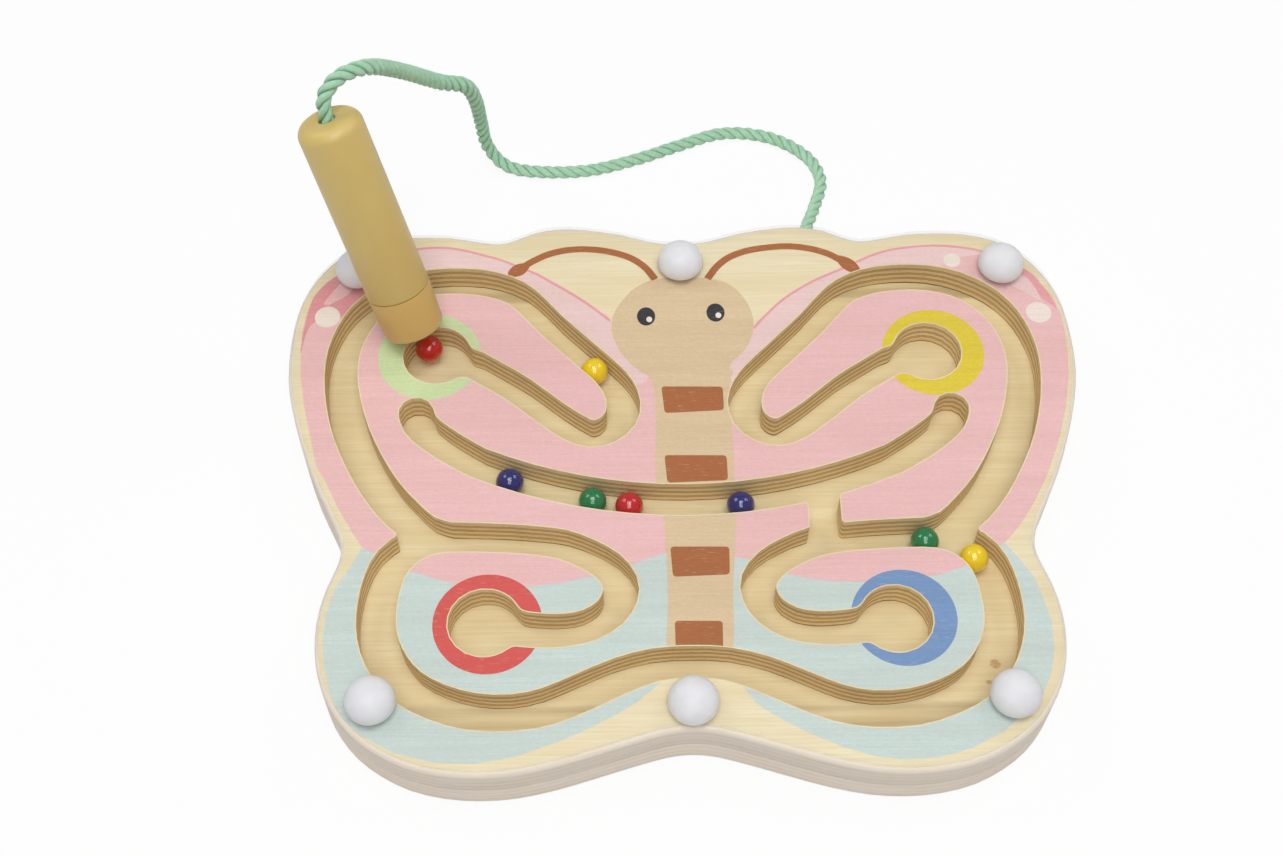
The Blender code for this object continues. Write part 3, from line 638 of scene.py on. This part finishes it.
class MAZE_OT_stage(bpy.types.Operator):
    """Set the camera, the pale floor and the soft lamps"""

    bl_idname = "maze.stage"
    bl_label = "Stage"

    def execute(self, context):
        scene = context.scene
        settings = scene.maze_stage
        scene.view_settings.view_transform = "Standard"
        self.make_camera(scene)
        self.make_sky(scene, settings)
        self.make_floor(scene)
        for name, place, width, power in LAMPS:
            self.make_lamp(scene, name, Vector(place), width, getattr(settings, power))
        return {"FINISHED"}

    def make_camera(self, scene):
        """The photograph's view, from the front and 58 degrees above the board."""
        camera = bpy.data.objects.new("view_camera", bpy.data.cameras.new("view_camera"))
        camera.data.lens = CAMERA_LENS
        camera.data.sensor_width = CAMERA_SENSOR
        camera.data.clip_start = CAMERA_NEAR
        camera.matrix_world = Matrix.Translation(CAMERA_PLACE) @ Matrix(CAMERA_TURN).to_4x4()
        scene.collection.objects.link(camera)
        scene.camera = camera

    def make_sky(self, scene, settings):
        """White behind the board, and a plain soft light on it."""
        world = bpy.data.worlds.new("studio_sky")
        world.use_nodes = True
        world.node_tree.nodes.clear()
        seen = add_node(world, "ShaderNodeLightPath", output="Is Camera Ray")
        strength = add_node(world, "ShaderNodeMapRange", None,
                            {"Value": seen, "To Min": settings.sky, "To Max": 1.0})
        light = add_node(world, "ShaderNodeBackground", None,
                         {"Color": WHITE, "Strength": strength})
        add_node(world, "ShaderNodeOutputWorld", None, {"Surface": light})
        scene.world = world

    def make_floor(self, scene):
        """White paper that keeps a faint shadow of the board."""
        shape = bmesh.new()
        bmesh.ops.create_grid(shape, x_segments=1, y_segments=1, size=FLOOR_REACH)
        bmesh.ops.translate(shape, verts=shape.verts, vec=(0, 0, -FLOOR_DROP))
        paper = new_material("studio_paper")
        matt = add_node(paper, "ShaderNodeBsdfDiffuse", None, {"Color": (0.86, 0.86, 0.86, 1)})
        glow = add_node(paper, "ShaderNodeEmission", None, {"Color": WHITE})
        paths = add_node(paper, "ShaderNodeLightPath").node.outputs
        seen = paths["Is Camera Ray"]
        for other in ("Is Glossy Ray", "Is Transmission Ray"):
            seen = add_node(paper, "ShaderNodeMath", {"operation": "MAXIMUM"},
                            {0: seen, 1: paths[other]})
        share = add_node(paper, "ShaderNodeMath", {"operation": "MULTIPLY"},
                         {0: seen, 1: PAPER_GLOW})
        mix = add_node(paper, "ShaderNodeMixShader", None, {0: share, 1: matt, 2: glow})
        add_node(paper, "ShaderNodeOutputMaterial", None, {"Surface": mix})
        mesh = to_mesh("studio_floor", shape)
        mesh.materials.append(paper)
        floor = bpy.data.objects.new("studio_floor", mesh)
        scene.collection.objects.link(floor)

    def make_lamp(self, scene, name, place, width, power):
        """A square soft lamp aimed at the board."""
        lamp = bpy.data.lights.new(name, "AREA")
        lamp.size = width
        lamp.energy = power
        item = bpy.data.objects.new(name, lamp)
        item.matrix_world = (Matrix.Translation(place)
                             @ (-place).to_track_quat("-Z", "Y").to_matrix().to_4x4())
        scene.collection.objects.link(item)


class MAZE_OT_rope(bpy.types.Operator):
    """Lay the three-strand rope from the board's back edge to the pen"""

    bl_idname = "maze.rope"
    bl_label = "Rope"

    def execute(self, context):
        settings = context.scene.maze_rope
        top = pen_frame()
        inside = [top @ Vector((0, 0, PEN_LENGTH)),
                  top @ Vector((0, 0, PEN_LENGTH - PEN_TOP_WALL))]
        route = smooth_line(list(ROPE_ROUTE) + inside, settings.steps)
        piece = placed("pull_cord", self.strands(route, settings), [self.thread(settings)],
                       body=None, smooth=math.pi)
        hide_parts("pull_rope")
        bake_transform(piece)
        return {"FINISHED"}

    def strands(self, route, settings):
        """Three strands wound round the route, as one mesh."""
        strand_radius = settings.diameter * STRAND_SHARE
        offset = settings.diameter / 2 - strand_radius
        swells = [1 + settings.loosening
                  * math.exp(-((index / settings.steps - LOOSE_MIDDLE) / LOOSE_SPREAD) ** 2)
                  for index in range(len(route))]
        shape = bmesh.new()
        crests = []
        for strand in range(STRANDS):
            curve = bpy.data.curves.new("strand", "CURVE")
            curve.dimensions = "3D"
            curve.bevel_depth = strand_radius
            curve.bevel_resolution = 3
            curve.use_fill_caps = True
            spline = curve.splines.new("POLY")
            spline.points.add(len(route) - 1)
            side, walked = Vector((0, 0, 1)), 0.0
            for index, point in enumerate(route):
                ahead = route[min(index + 1, len(route) - 1)]
                behind = route[max(index - 1, 0)]
                along = (ahead - behind).normalized()
                side = (side - along * side.dot(along)).normalized()
                walked += (point - behind).length
                angle = math.tau * (walked / settings.lay + strand / STRANDS)
                out = side * math.cos(angle) + along.cross(side) * math.sin(angle)
                spline.points[index].co = (*(point + out * offset * swells[index]), 1)
                spline.points[index].radius = swells[index]
            holder = bpy.data.objects.new("strand", curve)
            bpy.context.scene.collection.objects.link(holder)
            mesh = worked_out(holder)
            ring = len(mesh.vertices) // len(route)
            for index, corner in enumerate(mesh.vertices):
                at = min(index // ring, len(route) - 1)
                reach = settings.diameter / 2 * swells[at]
                crests.append((corner.co - route[at]).length / reach)
            shape.from_mesh(mesh)
        mesh = to_mesh("pull_cord", shape)
        mesh.attributes.new("crest", "FLOAT", "POINT").data.foreach_set("value", crests)
        return mesh

    def thread(self, settings):
        """Cotton, twisted: soft matt yarns, with painted shade between them and deep in the
        rope's lay.
        """
        material = new_material("twisted_cotton")
        around = add_node(material, "ShaderNodeUVMap", {"uv_map": "UVMap"})
        parts = add_node(material, "ShaderNodeSeparateXYZ", None, {"Vector": around}).node.outputs
        turns = -ROPE_LENGTH / settings.yarn_lay * settings.yarns
        wound = add_node(material, "ShaderNodeMath", {"operation": "MULTIPLY"},
                         {0: parts["Y"], 1: turns})
        yarn = add_node(material, "ShaderNodeMath", {"operation": "MULTIPLY_ADD"},
                        {0: parts["X"], 1: float(settings.yarns), 2: wound})
        turn = add_node(material, "ShaderNodeMath", {"operation": "MULTIPLY"},
                        {0: yarn, 1: math.tau})
        wave = add_node(material, "ShaderNodeMath", {"operation": "SINE"}, {0: turn})
        ridge = add_node(material, "ShaderNodeMapRange", None,
                         {"Value": wave, "From Min": -1.0, "From Max": 0.4})
        # Single fibres of cotton are too fine to show, so the fuzz is in tufts of 0.8 mm
        fuzz = grain_pattern(material, 0.0008, detail=3.0)
        worn = grain_pattern(material, 0.02, detail=1.0)
        crest = add_node(material, "ShaderNodeAttribute", {"attribute_name": "crest"},
                         output="Fac")
        groove_shade = add_node(material, "ShaderNodeMapRange", None,
                          {"Value": crest, "From Min": GROOVE_BOTTOM,
                           "From Max": GROOVE_TOP, "To Min": 1.0, "To Max": 0.0})
        # The darker thread between the yarns and the deep colour in the grooves are painted shade
        tone = stained(material, settings.thread_dark, [
            (ridge, 0.9, settings.thread), (fuzz, 0.45, settings.thread),
            (worn, 0.20, linear("#D6F5DC")), (groove_shade, 0.80, settings.thread_deep)])
        return finished(material, tone, (fuzz, 0.86, 0.95), (ridge, 0.00013, 0.6),
                        {"Specular IOR Level": 0.2, "Sheen Weight": 0.25,
                         "Sheen Roughness": 0.5})


class MAZE_OT_board(bpy.types.Operator):
    """Finish the base board and the routed maze plate in birch ply"""

    bl_idname = "maze.board"
    bl_label = "Plywood board"

    def execute(self, context):
        wood = context.scene.maze_wood
        floor = birch_face("sanded_birch_floor", wood, wood.floor, wood.floor_dark, KNOTS)
        face = birch_face("sanded_birch_face", wood, wood.face, wood.face_dark)
        self.layer("birch_base", "base_board", "base_plywood", [
            floor, washed_edge("washed_base_edge", wood, 0.0, BASE_TOP)])
        self.layer("routed_plate", "maze_plate", "plywood", [
            face, washed_edge("washed_plate_edge", wood, PLATE_LOW, PLATE_TOP),
            ply_wall("routed_ply_wall", wood, PLATE_LOW, PLATE_TOP)])
        return {"FINISHED"}

    def layer(self, name, node, slot, materials):
        """A board layer from its node: flat faces, outer edge and, on the plate, inner walls."""
        shape = layer_shape(node)
        outer = self.outer_faces(shape)
        for face in shape.faces:
            if abs(face.normal.z) > UPRIGHT:
                face.material_index = 0
            elif face in outer:
                face.material_index = 1
            else:
                face.material_index = len(materials) - 1
        piece = placed(name, to_mesh(name, shape), materials, "board")
        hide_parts(node)

    def outer_faces(self, shape):
        """The side faces on the layer's outline, not in its channels or holes."""
        sides = {face for face in shape.faces if abs(face.normal.z) <= UPRIGHT}
        start = max(sides, key=lambda face: face.calc_center_median().x)
        found, todo = {start}, [start]
        while todo:
            for edge in todo.pop().edges:
                for face in edge.link_faces:
                    if face in sides and face not in found:
                        found.add(face)
                        todo.append(face)
        return found


class MAZE_OT_print(bpy.types.Operator):
    """Print the butterfly on the plate's top in films of ink"""

    bl_idname = "maze.print"
    bl_label = "Printed butterfly"

    def execute(self, context):
        wood, ink = context.scene.maze_wood, context.scene.maze_print
        blank = self.top_of_plate(ink.margin)
        upper = WING_RIGHT + WING_MEETING[1:] + tuple(reversed(WING_LEFT))
        lower = (tuple(reversed(WING_MEETING)) + tuple(reversed(LOWER_RIGHT))
                 + BODY_FOOT + tuple(reversed(LOWER_LEFT)))
        coats = (
            ("wing_pink", 1, "pink", [upper]),
            ("wing_mint", 1, "mint", [lower]),
            ("wing_pale", 2, "pale", [self.curved(PALE_RIGHT), self.curved(PALE_LEFT)]),
            # The left blush holds the real rose band and the pen's painted shadow
            ("wing_blush_left", 3, "blush", [self.curved(BLUSH_AND_PEN_SHADOW_LEFT)]),
            ("wing_blush_right", 3, "rose", [self.curved(BLUSH_RIGHT)]),
            ("wing_line", 4, "rose", [self.band(line, WING_LINE_HALF_WIDTH)
                                      for line in WING_LINES]),
            ("wing_gleam_right", 4, "pale", [self.curved(GLEAM_RIGHT)]),
            # The left gleam is printed in pink, not pale like the right one, as painted shade of
            # the pen's shadow
            ("wing_gleam_left", 4, "pink", [self.curved(GLEAM_LEFT)]),
            ("wing_spots", 5, "white", [self.oval(*spot) for spot in WING_SPOTS]),
            *(("ring_" + colour, 2, colour, [self.oval(*ring)])
              for colour, ring in RINGS.items()),
            ("body", 3, "tan", [self.curved(BODY)]),
            ("head", 5, "tan", [self.curved(HEAD)]),
            ("stripes", 4, "brown", [self.rounded(stripe, STRIPE_ROUND) for stripe in STRIPES]),
            ("feelers", 6, "brown", [self.band(line, FEELER_HALF_WIDTH) for line in FEELERS]),
            ("feeler_tips", 7, "brown", [self.leaf(*tip) for tip in FEELER_TIPS]),
            ("eyes", 6, "black", [self.oval(*eye) for eye in EYES]),
            ("eye_gleams", 7, "white", [self.oval(*gleam) for gleam in EYE_GLEAMS]),
        )
        inks = {}
        for name, coat, colour, regions in coats:
            if colour not in inks:
                inks[colour] = screen_ink(colour + "_screen_ink", wood, getattr(ink, colour))
            self.film(blank, name, ink.coat * (coat + 1), inks[colour], regions)
        bpy.data.meshes.remove(blank)
        return {"FINISHED"}

    def top_of_plate(self, margin):
        """The plate's top face, drawn in from the routed edges by the print's margin."""
        shape = layer_shape("maze_plate")
        lower = [face for face in shape.faces if face.normal.z < UPRIGHT
                 or face.calc_center_median().z < PLATE_TOP - GLUE_GAP]
        bmesh.ops.delete(shape, geom=lower, context="FACES")
        rim = bmesh.ops.inset_region(shape, faces=shape.faces, use_boundary=True,
                                     use_even_offset=True, thickness=margin)
        bmesh.ops.delete(shape, geom=rim["faces"], context="FACES")
        inner = [edge for edge in shape.edges if len(edge.link_faces) > 1]
        bmesh.ops.delete(shape, geom=inner, context="EDGES")
        bmesh.ops.triangle_fill(shape, use_beauty=True, edges=shape.edges, normal=(0, 0, 1))
        return to_mesh("blank", shape)

    def curved(self, points):
        """A closed shape with smooth sides."""
        return smooth_line(points, 4, closed=True)

    def oval(self, x, y, half_width, half_depth, steps=72):
        """An oval about its middle."""
        return [(x + half_width * math.cos(math.tau * step / steps),
                 y + half_depth * math.sin(math.tau * step / steps)) for step in range(steps)]

    def band(self, points, half_width):
        """A drawn line of even width."""
        line = smooth_line(points, 6)
        left, right = [], []
        for index, point in enumerate(line):
            ahead, behind = line[min(index + 1, len(line) - 1)], line[max(index - 1, 0)]
            along = (ahead - behind).normalized()
            side = Vector((-along.y, along.x)) * half_width
            left.append(point + side)
            right.append(point - side)
        return left + list(reversed(right))

    def leaf(self, start, end, half_width):
        """A feeler's leaf-shaped tip between two points."""
        start, end = Vector(start), Vector(end)
        along = end - start
        side = Vector((-along.y, along.x)).normalized() * half_width
        widths = ((0.28, 0.8), (0.58, 1.0), (0.88, 0.62))
        left = [start.lerp(end, share) + side * width for share, width in widths]
        right = [start.lerp(end, share) - side * width for share, width in reversed(widths)]
        return self.curved([start] + left + [end] + right)

    def rounded(self, corners, radius, steps=6):
        """A straight-sided shape with rounded corners."""
        result = []
        for index, place in enumerate(corners):
            corner = Vector(place)
            before = (Vector(corners[index - 1]) - corner).normalized() * radius
            after = (Vector(corners[(index + 1) % len(corners)]) - corner).normalized() * radius
            for step in range(steps + 1):
                t = step / steps
                result.append(corner + before * (1 - t) ** 2 + after * t ** 2)
        return result

    def raised(self, shape, height):
        """Close a flat region into a thin solid of a height."""
        grown = bmesh.ops.extrude_face_region(shape, geom=shape.faces[:])["geom"]
        moved = [item for item in grown if isinstance(item, bmesh.types.BMVert)]
        bmesh.ops.translate(shape, verts=moved, vec=(0, 0, height))
        bmesh.ops.recalc_face_normals(shape, faces=shape.faces)

    def film(self, blank, name, thickness, material, regions):
        """One film: the blank raised by its coats of ink, cut to the regions."""
        shape = bmesh.new()
        shape.from_mesh(blank)
        self.raised(shape, thickness)
        bmesh.ops.translate(shape, verts=shape.verts, vec=(0, 0, -INK_SINK))
        sheet = bpy.data.objects.new(name, to_mesh(name, shape))
        shape = bmesh.new()
        for region in regions:
            prism = bmesh.new()
            prism.faces.new([prism.verts.new((place[0] * MILLIMETRE, place[1] * MILLIMETRE,
                                              PLATE_TOP - OVERRUN)) for place in region])
            self.raised(prism, 2 * OVERRUN)
            part = to_mesh("region", prism)
            shape.from_mesh(part)
            bpy.data.meshes.remove(part)
        cutter = bpy.data.objects.new("region", to_mesh("region", shape))
        for item in (sheet, cutter):
            bpy.context.scene.collection.objects.link(item)
        cut = sheet.modifiers.new("cut", "BOOLEAN")
        cut.operation = "INTERSECT"
        cut.solver = "EXACT"
        cut.object = cutter
        mesh = worked_out(sheet)
        bpy.data.objects.remove(cutter, do_unlink=True)
        if not mesh.polygons:
            raise RuntimeError(f"The print has no {name}")
        piece = placed("ink_" + name, mesh, [material], "board", smooth=math.radians(30))


class MAZE_OT_cover(bpy.types.Operator):
    """Lay the clear acrylic cover on the board"""

    bl_idname = "maze.cover"
    bl_label = "Clear cover"

    def execute(self, context):
        shape = copy_of_node("clear_cover")
        bmesh.ops.dissolve_limit(shape, angle_limit=FACET_ANGLE, verts=shape.verts,
                                 edges=shape.edges)
        for face in shape.faces:
            face.material_index = 0 if abs(face.normal.z) > UPRIGHT else 1
        piece = placed("acrylic_cover", to_mesh("acrylic_cover", shape),
                       [self.sheet(), self.cut_edge()], "board")
        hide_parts("clear_cover")
        return {"FINISHED"}

    def sheet(self):
        """Acrylic, cast: clear, with the even gloss of a flat polished sheet."""
        material = new_material("cast_acrylic")
        clear = add_node(material, "ShaderNodeBsdfTransparent", None,
                         {"Color": (0.995, 1.0, 0.998, 1)})
        smear = grain_pattern(material, (0.05, 0.03, 0.05))
        rough = add_node(material, "ShaderNodeMapRange", None,
                         {"Value": smear, "To Min": 0.03, "To Max": 0.09})
        gloss = add_node(material, "ShaderNodeBsdfGlossy", None,
                         {"Color": WHITE, "Roughness": rough})
        facing = add_node(material, "ShaderNodeLayerWeight", None, {"Blend": 0.5}, "Facing")
        steep = add_node(material, "ShaderNodeMath", {"operation": "POWER"}, {0: facing, 1: 5.0})
        share = add_node(material, "ShaderNodeMapRange", None,
                         {"Value": steep, "To Min": 0.02, "To Max": 0.8})
        mix = add_node(material, "ShaderNodeMixShader", None, {0: share, 1: clear, 2: gloss})
        add_node(material, "ShaderNodeOutputMaterial", None, {"Surface": mix})
        return material

    def cut_edge(self):
        """Acrylic, sawn: the edge is milky where the saw left it rough."""
        material = new_material("sawn_acrylic_edge")
        saw = grain_pattern(material, (0.0008, 0.0008, 0.004))
        tone = stained(material, linear("#E4E9EA"), [(saw, 1.0, linear("#F4F7F8"))])
        return finished(material, tone, (saw, 0.30, 0.45), None, {"Alpha": 0.2, "IOR": 1.49})


class MAZE_OT_rivets(bpy.types.Operator):
    """Set the six domed push rivets"""

    bl_idname = "maze.rivets"
    bl_label = "Dome rivets"

    def execute(self, context):
        settings = context.scene.maze_fittings
        nylon = self.nylon(settings)
        for node in sorted(frame["nodes"]):
            if not node.startswith("rivet_"):
                continue
            low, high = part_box(node)
            shape = turned(self.profile(settings, low.z, high.z), settings.rivet_steps)
            bmesh.ops.translate(shape, verts=shape.verts,
                                vec=((low.x + high.x) / 2, (low.y + high.y) / 2, 0))
            name = "dome_" + node
            piece = placed(name, to_mesh(name, shape), [nylon], "board",
                           smooth=math.radians(40))
            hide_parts(node)
        return {"FINISHED"}

    def profile(self, settings, tip, top):
        """Crown, rim with a rounded edge, flat seat and barbed shank."""
        head, rim, dome = settings.rivet_head / 2, settings.rivet_rim, settings.rivet_dome
        seat = top - rim - dome
        edge, shank, barb, steps = 0.0004, 0.0023, 0.0004, 14
        points = [(0.0, top)]
        for step in range(1, steps + 1):
            angle = math.pi / 2 * step / steps
            points.append((head * math.sin(angle), seat + rim + dome * math.cos(angle)))
        points += arc((head - edge, seat + edge), edge, 0, -90, 4)
        points += [(shank + edge, seat), (shank, seat - edge), (shank, BASE_TOP),
                   (shank + barb, BASE_TOP - barb), (shank, BASE_TOP - 6 * barb),
                   (shank, tip + 3 * barb), (shank - 1.5 * barb, tip), (0.0, tip)]
        return points

    def nylon(self, settings):
        """Nylon, moulded: milky and satin, softly shaded by the light passing through it."""
        material = new_material("moulded_nylon")
        cloud = grain_pattern(material, 0.004)
        tone = stained(material, settings.nylon, [(cloud, 0.5, linear("#D6D6DC"))])
        return finished(material, tone, (cloud, 0.46, 0.56), None,
                        {"Specular IOR Level": 0.35, "Subsurface Weight": 1.0,
                         "Subsurface Radius": (0.008, 0.0077, 0.008), "Subsurface Scale": 1.0})


class MAZE_OT_beads(bpy.types.Operator):
    """Put the eight enamelled beads in the channels"""

    bl_idname = "maze.beads"
    bl_label = "Beads"

    def execute(self, context):
        settings = context.scene.maze_fittings
        finishes = {}
        for body, nodes in frame["record"]["behaviour"]["bodies"].items():
            for node in nodes:
                if not node.startswith("bead_"):
                    continue
                colour = node.split("_")[1]
                if colour not in finishes:
                    finishes[colour] = self.enamel(colour, getattr(settings, colour))
                low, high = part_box(node)
                shape = self.ball((low + high) / 2, (high.z - low.z) / 2, settings.bead_steps)
                name = "ball_" + node
                piece = placed(name, to_mesh(name, shape), [finishes[colour]], body,
                               smooth=math.pi)
                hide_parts(node)
        return {"FINISHED"}

    def ball(self, centre, radius, steps):
        """A steel ball with the small flat that its enamel dried on."""
        shape = bmesh.new()
        bmesh.ops.create_uvsphere(shape, u_segments=steps, v_segments=steps // 2, radius=radius)
        flat = -radius * BEAD_FLAT
        for corner in shape.verts:
            corner.co.z = max(corner.co.z, flat)
        bmesh.ops.translate(shape, verts=shape.verts, vec=centre)
        return shape

    def enamel(self, name, colour):
        """Enamel, baked: deep even colour under a hard gloss, with a faint orange peel."""
        material = new_material(name + "_baked_enamel")
        peel = grain_pattern(material, 0.0009, detail=1.0)
        darker = tinted(colour, (0.82, 0.82, 0.82, 1))
        tone = stained(material, colour, [(peel, 0.25, darker)])
        return finished(material, tone, (peel, 0.10, 0.14), (peel, 0.000012, 0.4),
                        {"Coat Weight": 0.6, "Coat Roughness": 0.03})


class MAZE_OT_pen(bpy.types.Operator):
    """Make the magnet pen's barrel, foot, magnet and knot"""

    bl_idname = "maze.pen"
    bl_label = "Magnet pen"

    def execute(self, context):
        settings = context.scene.maze_fittings
        for name, node, profile, colour in (
                ("pen_barrel", "pen_handle", self.barrel(settings), settings.pen),
                ("pen_foot", "pen_tip", self.foot(settings), settings.foot)):
            shape = turned(profile, settings.pen_steps)
            bmesh.ops.transform(shape, matrix=pen_frame(), verts=shape.verts)
            piece = placed(name, to_mesh(name, shape), [self.plastic(name, colour)], "pen",
                           smooth=math.radians(40))
            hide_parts(node)
        for node, material in (("pen_magnet", self.nickel()),
                               ("rope_knot", self.knot_cotton(context.scene.maze_rope))):
            materials = frame["nodes"][node].data.materials
            materials.clear()
            materials.append(material)
        return {"FINISHED"}

    def seam_edge(self, radius, seam, up):
        """The broken edge at the seam, from the pen's side to the face at the seam."""
        return [(radius, seam + up * EDGE_BREAK),
                (radius - EDGE_BREAK / 4, seam + up * EDGE_BREAK / 4),
                (radius - EDGE_BREAK, seam)]

    def barrel(self, settings):
        """Hollow handle with a rounded top, a rope hole and a small break at the seam."""
        radius, hole, round_top, lip = settings.pen_width / 2, 0.00255, 0.0038, 0.0005
        bore, bore_top, top = radius - 0.0018, PEN_LENGTH - PEN_TOP_WALL, PEN_LENGTH
        points = [(hole, bore_top)]
        points += arc((hole + lip, top - lip), lip, 180, 90, 4)
        points += arc((radius - round_top, top - round_top), round_top, 90, 0, 12)
        points += self.seam_edge(radius, PEN_SEAM, 1)
        points += [(bore, PEN_SEAM), (bore, bore_top), (hole, bore_top)]
        return points

    def foot(self, settings):
        """Tip cap whose spigot goes up the barrel, with the magnet's pocket inside."""
        radius, edge, pocket, cup = settings.pen_width / 2, 0.0006, 0.0066, 0.0015
        foot, spigot, spigot_top = radius - 0.0005, radius - 0.0021, 0.0223
        points = [(0.0, cup), (pocket, cup), (pocket, spigot_top),
                  (spigot - EDGE_BREAK, spigot_top), (spigot, spigot_top - EDGE_BREAK),
                  (spigot, PEN_SHOULDER)]
        points += reversed(self.seam_edge(radius, PEN_SHOULDER, -1))
        points += arc((foot - edge, edge), edge, 0, -90, 5)
        points += [(0.0, 0.0)]
        return points

    def plastic(self, name, colour):
        """ABS, moulded: satin and even, with faint flow clouds and a fine spark texture."""
        material = new_material(name + "_moulded_abs")
        cloud = grain_pattern(material, (0.012, 0.012, 0.03))
        # Spark texture has pits of about 0.1 mm, too fine to show, so they are drawn at 0.5 mm
        spark = grain_pattern(material, 0.0005)
        shade = tinted(colour, (0.93, 0.92, 0.90, 1))
        tone = stained(material, colour, [(cloud, 0.6, shade)])
        return finished(material, tone, (spark, 0.38, 0.46), (spark, 0.000015, 0.4),
                        {"IOR": 1.54})

    def nickel(self):
        """Nickel, plated: bright, with fine tumbling marks."""
        material = new_material("plated_nickel")
        # Tumbling leaves marks of about 0.1 mm, drawn at 0.6 mm to show
        marks = grain_pattern(material, 0.0006)
        tone = stained(material, linear("#BDBCB8"), [(marks, 0.4, linear("#A9A8A3"))])
        return finished(material, tone, (marks, 0.18, 0.32), None, {"Metallic": 1.0})

    def knot_cotton(self, rope):
        """Cotton, knotted: the rope's yarns pulled tight."""
        material = new_material("knotted_cotton")
        yarn = grain_pattern(material, (0.0006, 0.0006, 0.002), detail=3.0)
        tone = stained(material, rope.thread_dark, [(yarn, 1.0, rope.thread)])
        return finished(material, tone, (yarn, 0.86, 0.95), (yarn, 0.0002, 0.6))


STEPS = ("stage", "rope", "board", "print", "cover", "rivets", "beads", "pen")


class MAZE_PT_panel(bpy.types.Panel):
    """The board's sizes, colours and steps in the 3D view's sidebar"""

    bl_idname = "MAZE_PT_panel"
    bl_label = "Magnetic Maze Board"
    bl_space_type = "VIEW_3D"
    bl_region_type = "UI"
    bl_category = "Maze Board"

    def draw(self, context):
        for name, group in GROUPS.items():
            box = self.layout.box()
            box.label(text=group.__doc__)
            for setting in group.__annotations__:
                box.prop(getattr(context.scene, name), setting)
        for step in STEPS:
            self.layout.operator("maze." + step)


GROUPS = {
    "maze_wood": WoodSettings,
    "maze_print": PrintSettings,
    "maze_fittings": FittingSettings,
    "maze_rope": RopeSettings,
    "maze_stage": StageSettings,
}
CLASSES = tuple(GROUPS.values()) + (
    MAZE_OT_stage, MAZE_OT_rope, MAZE_OT_board, MAZE_OT_print, MAZE_OT_cover, MAZE_OT_rivets,
    MAZE_OT_beads, MAZE_OT_pen, MAZE_PT_panel)


def register():
    for item in CLASSES:
        bpy.utils.register_class(item)
    for name, group in GROUPS.items():
        setattr(bpy.types.Scene, name, PointerProperty(type=group))


def unregister():
    for name in GROUPS:
        delattr(bpy.types.Scene, name)
    for item in reversed(CLASSES):
        bpy.utils.unregister_class(item)


def main():
    """Run every step in order."""
    register()
    for step in STEPS:
        getattr(bpy.ops.maze, step)()


if __name__ == "__main__":
    main()
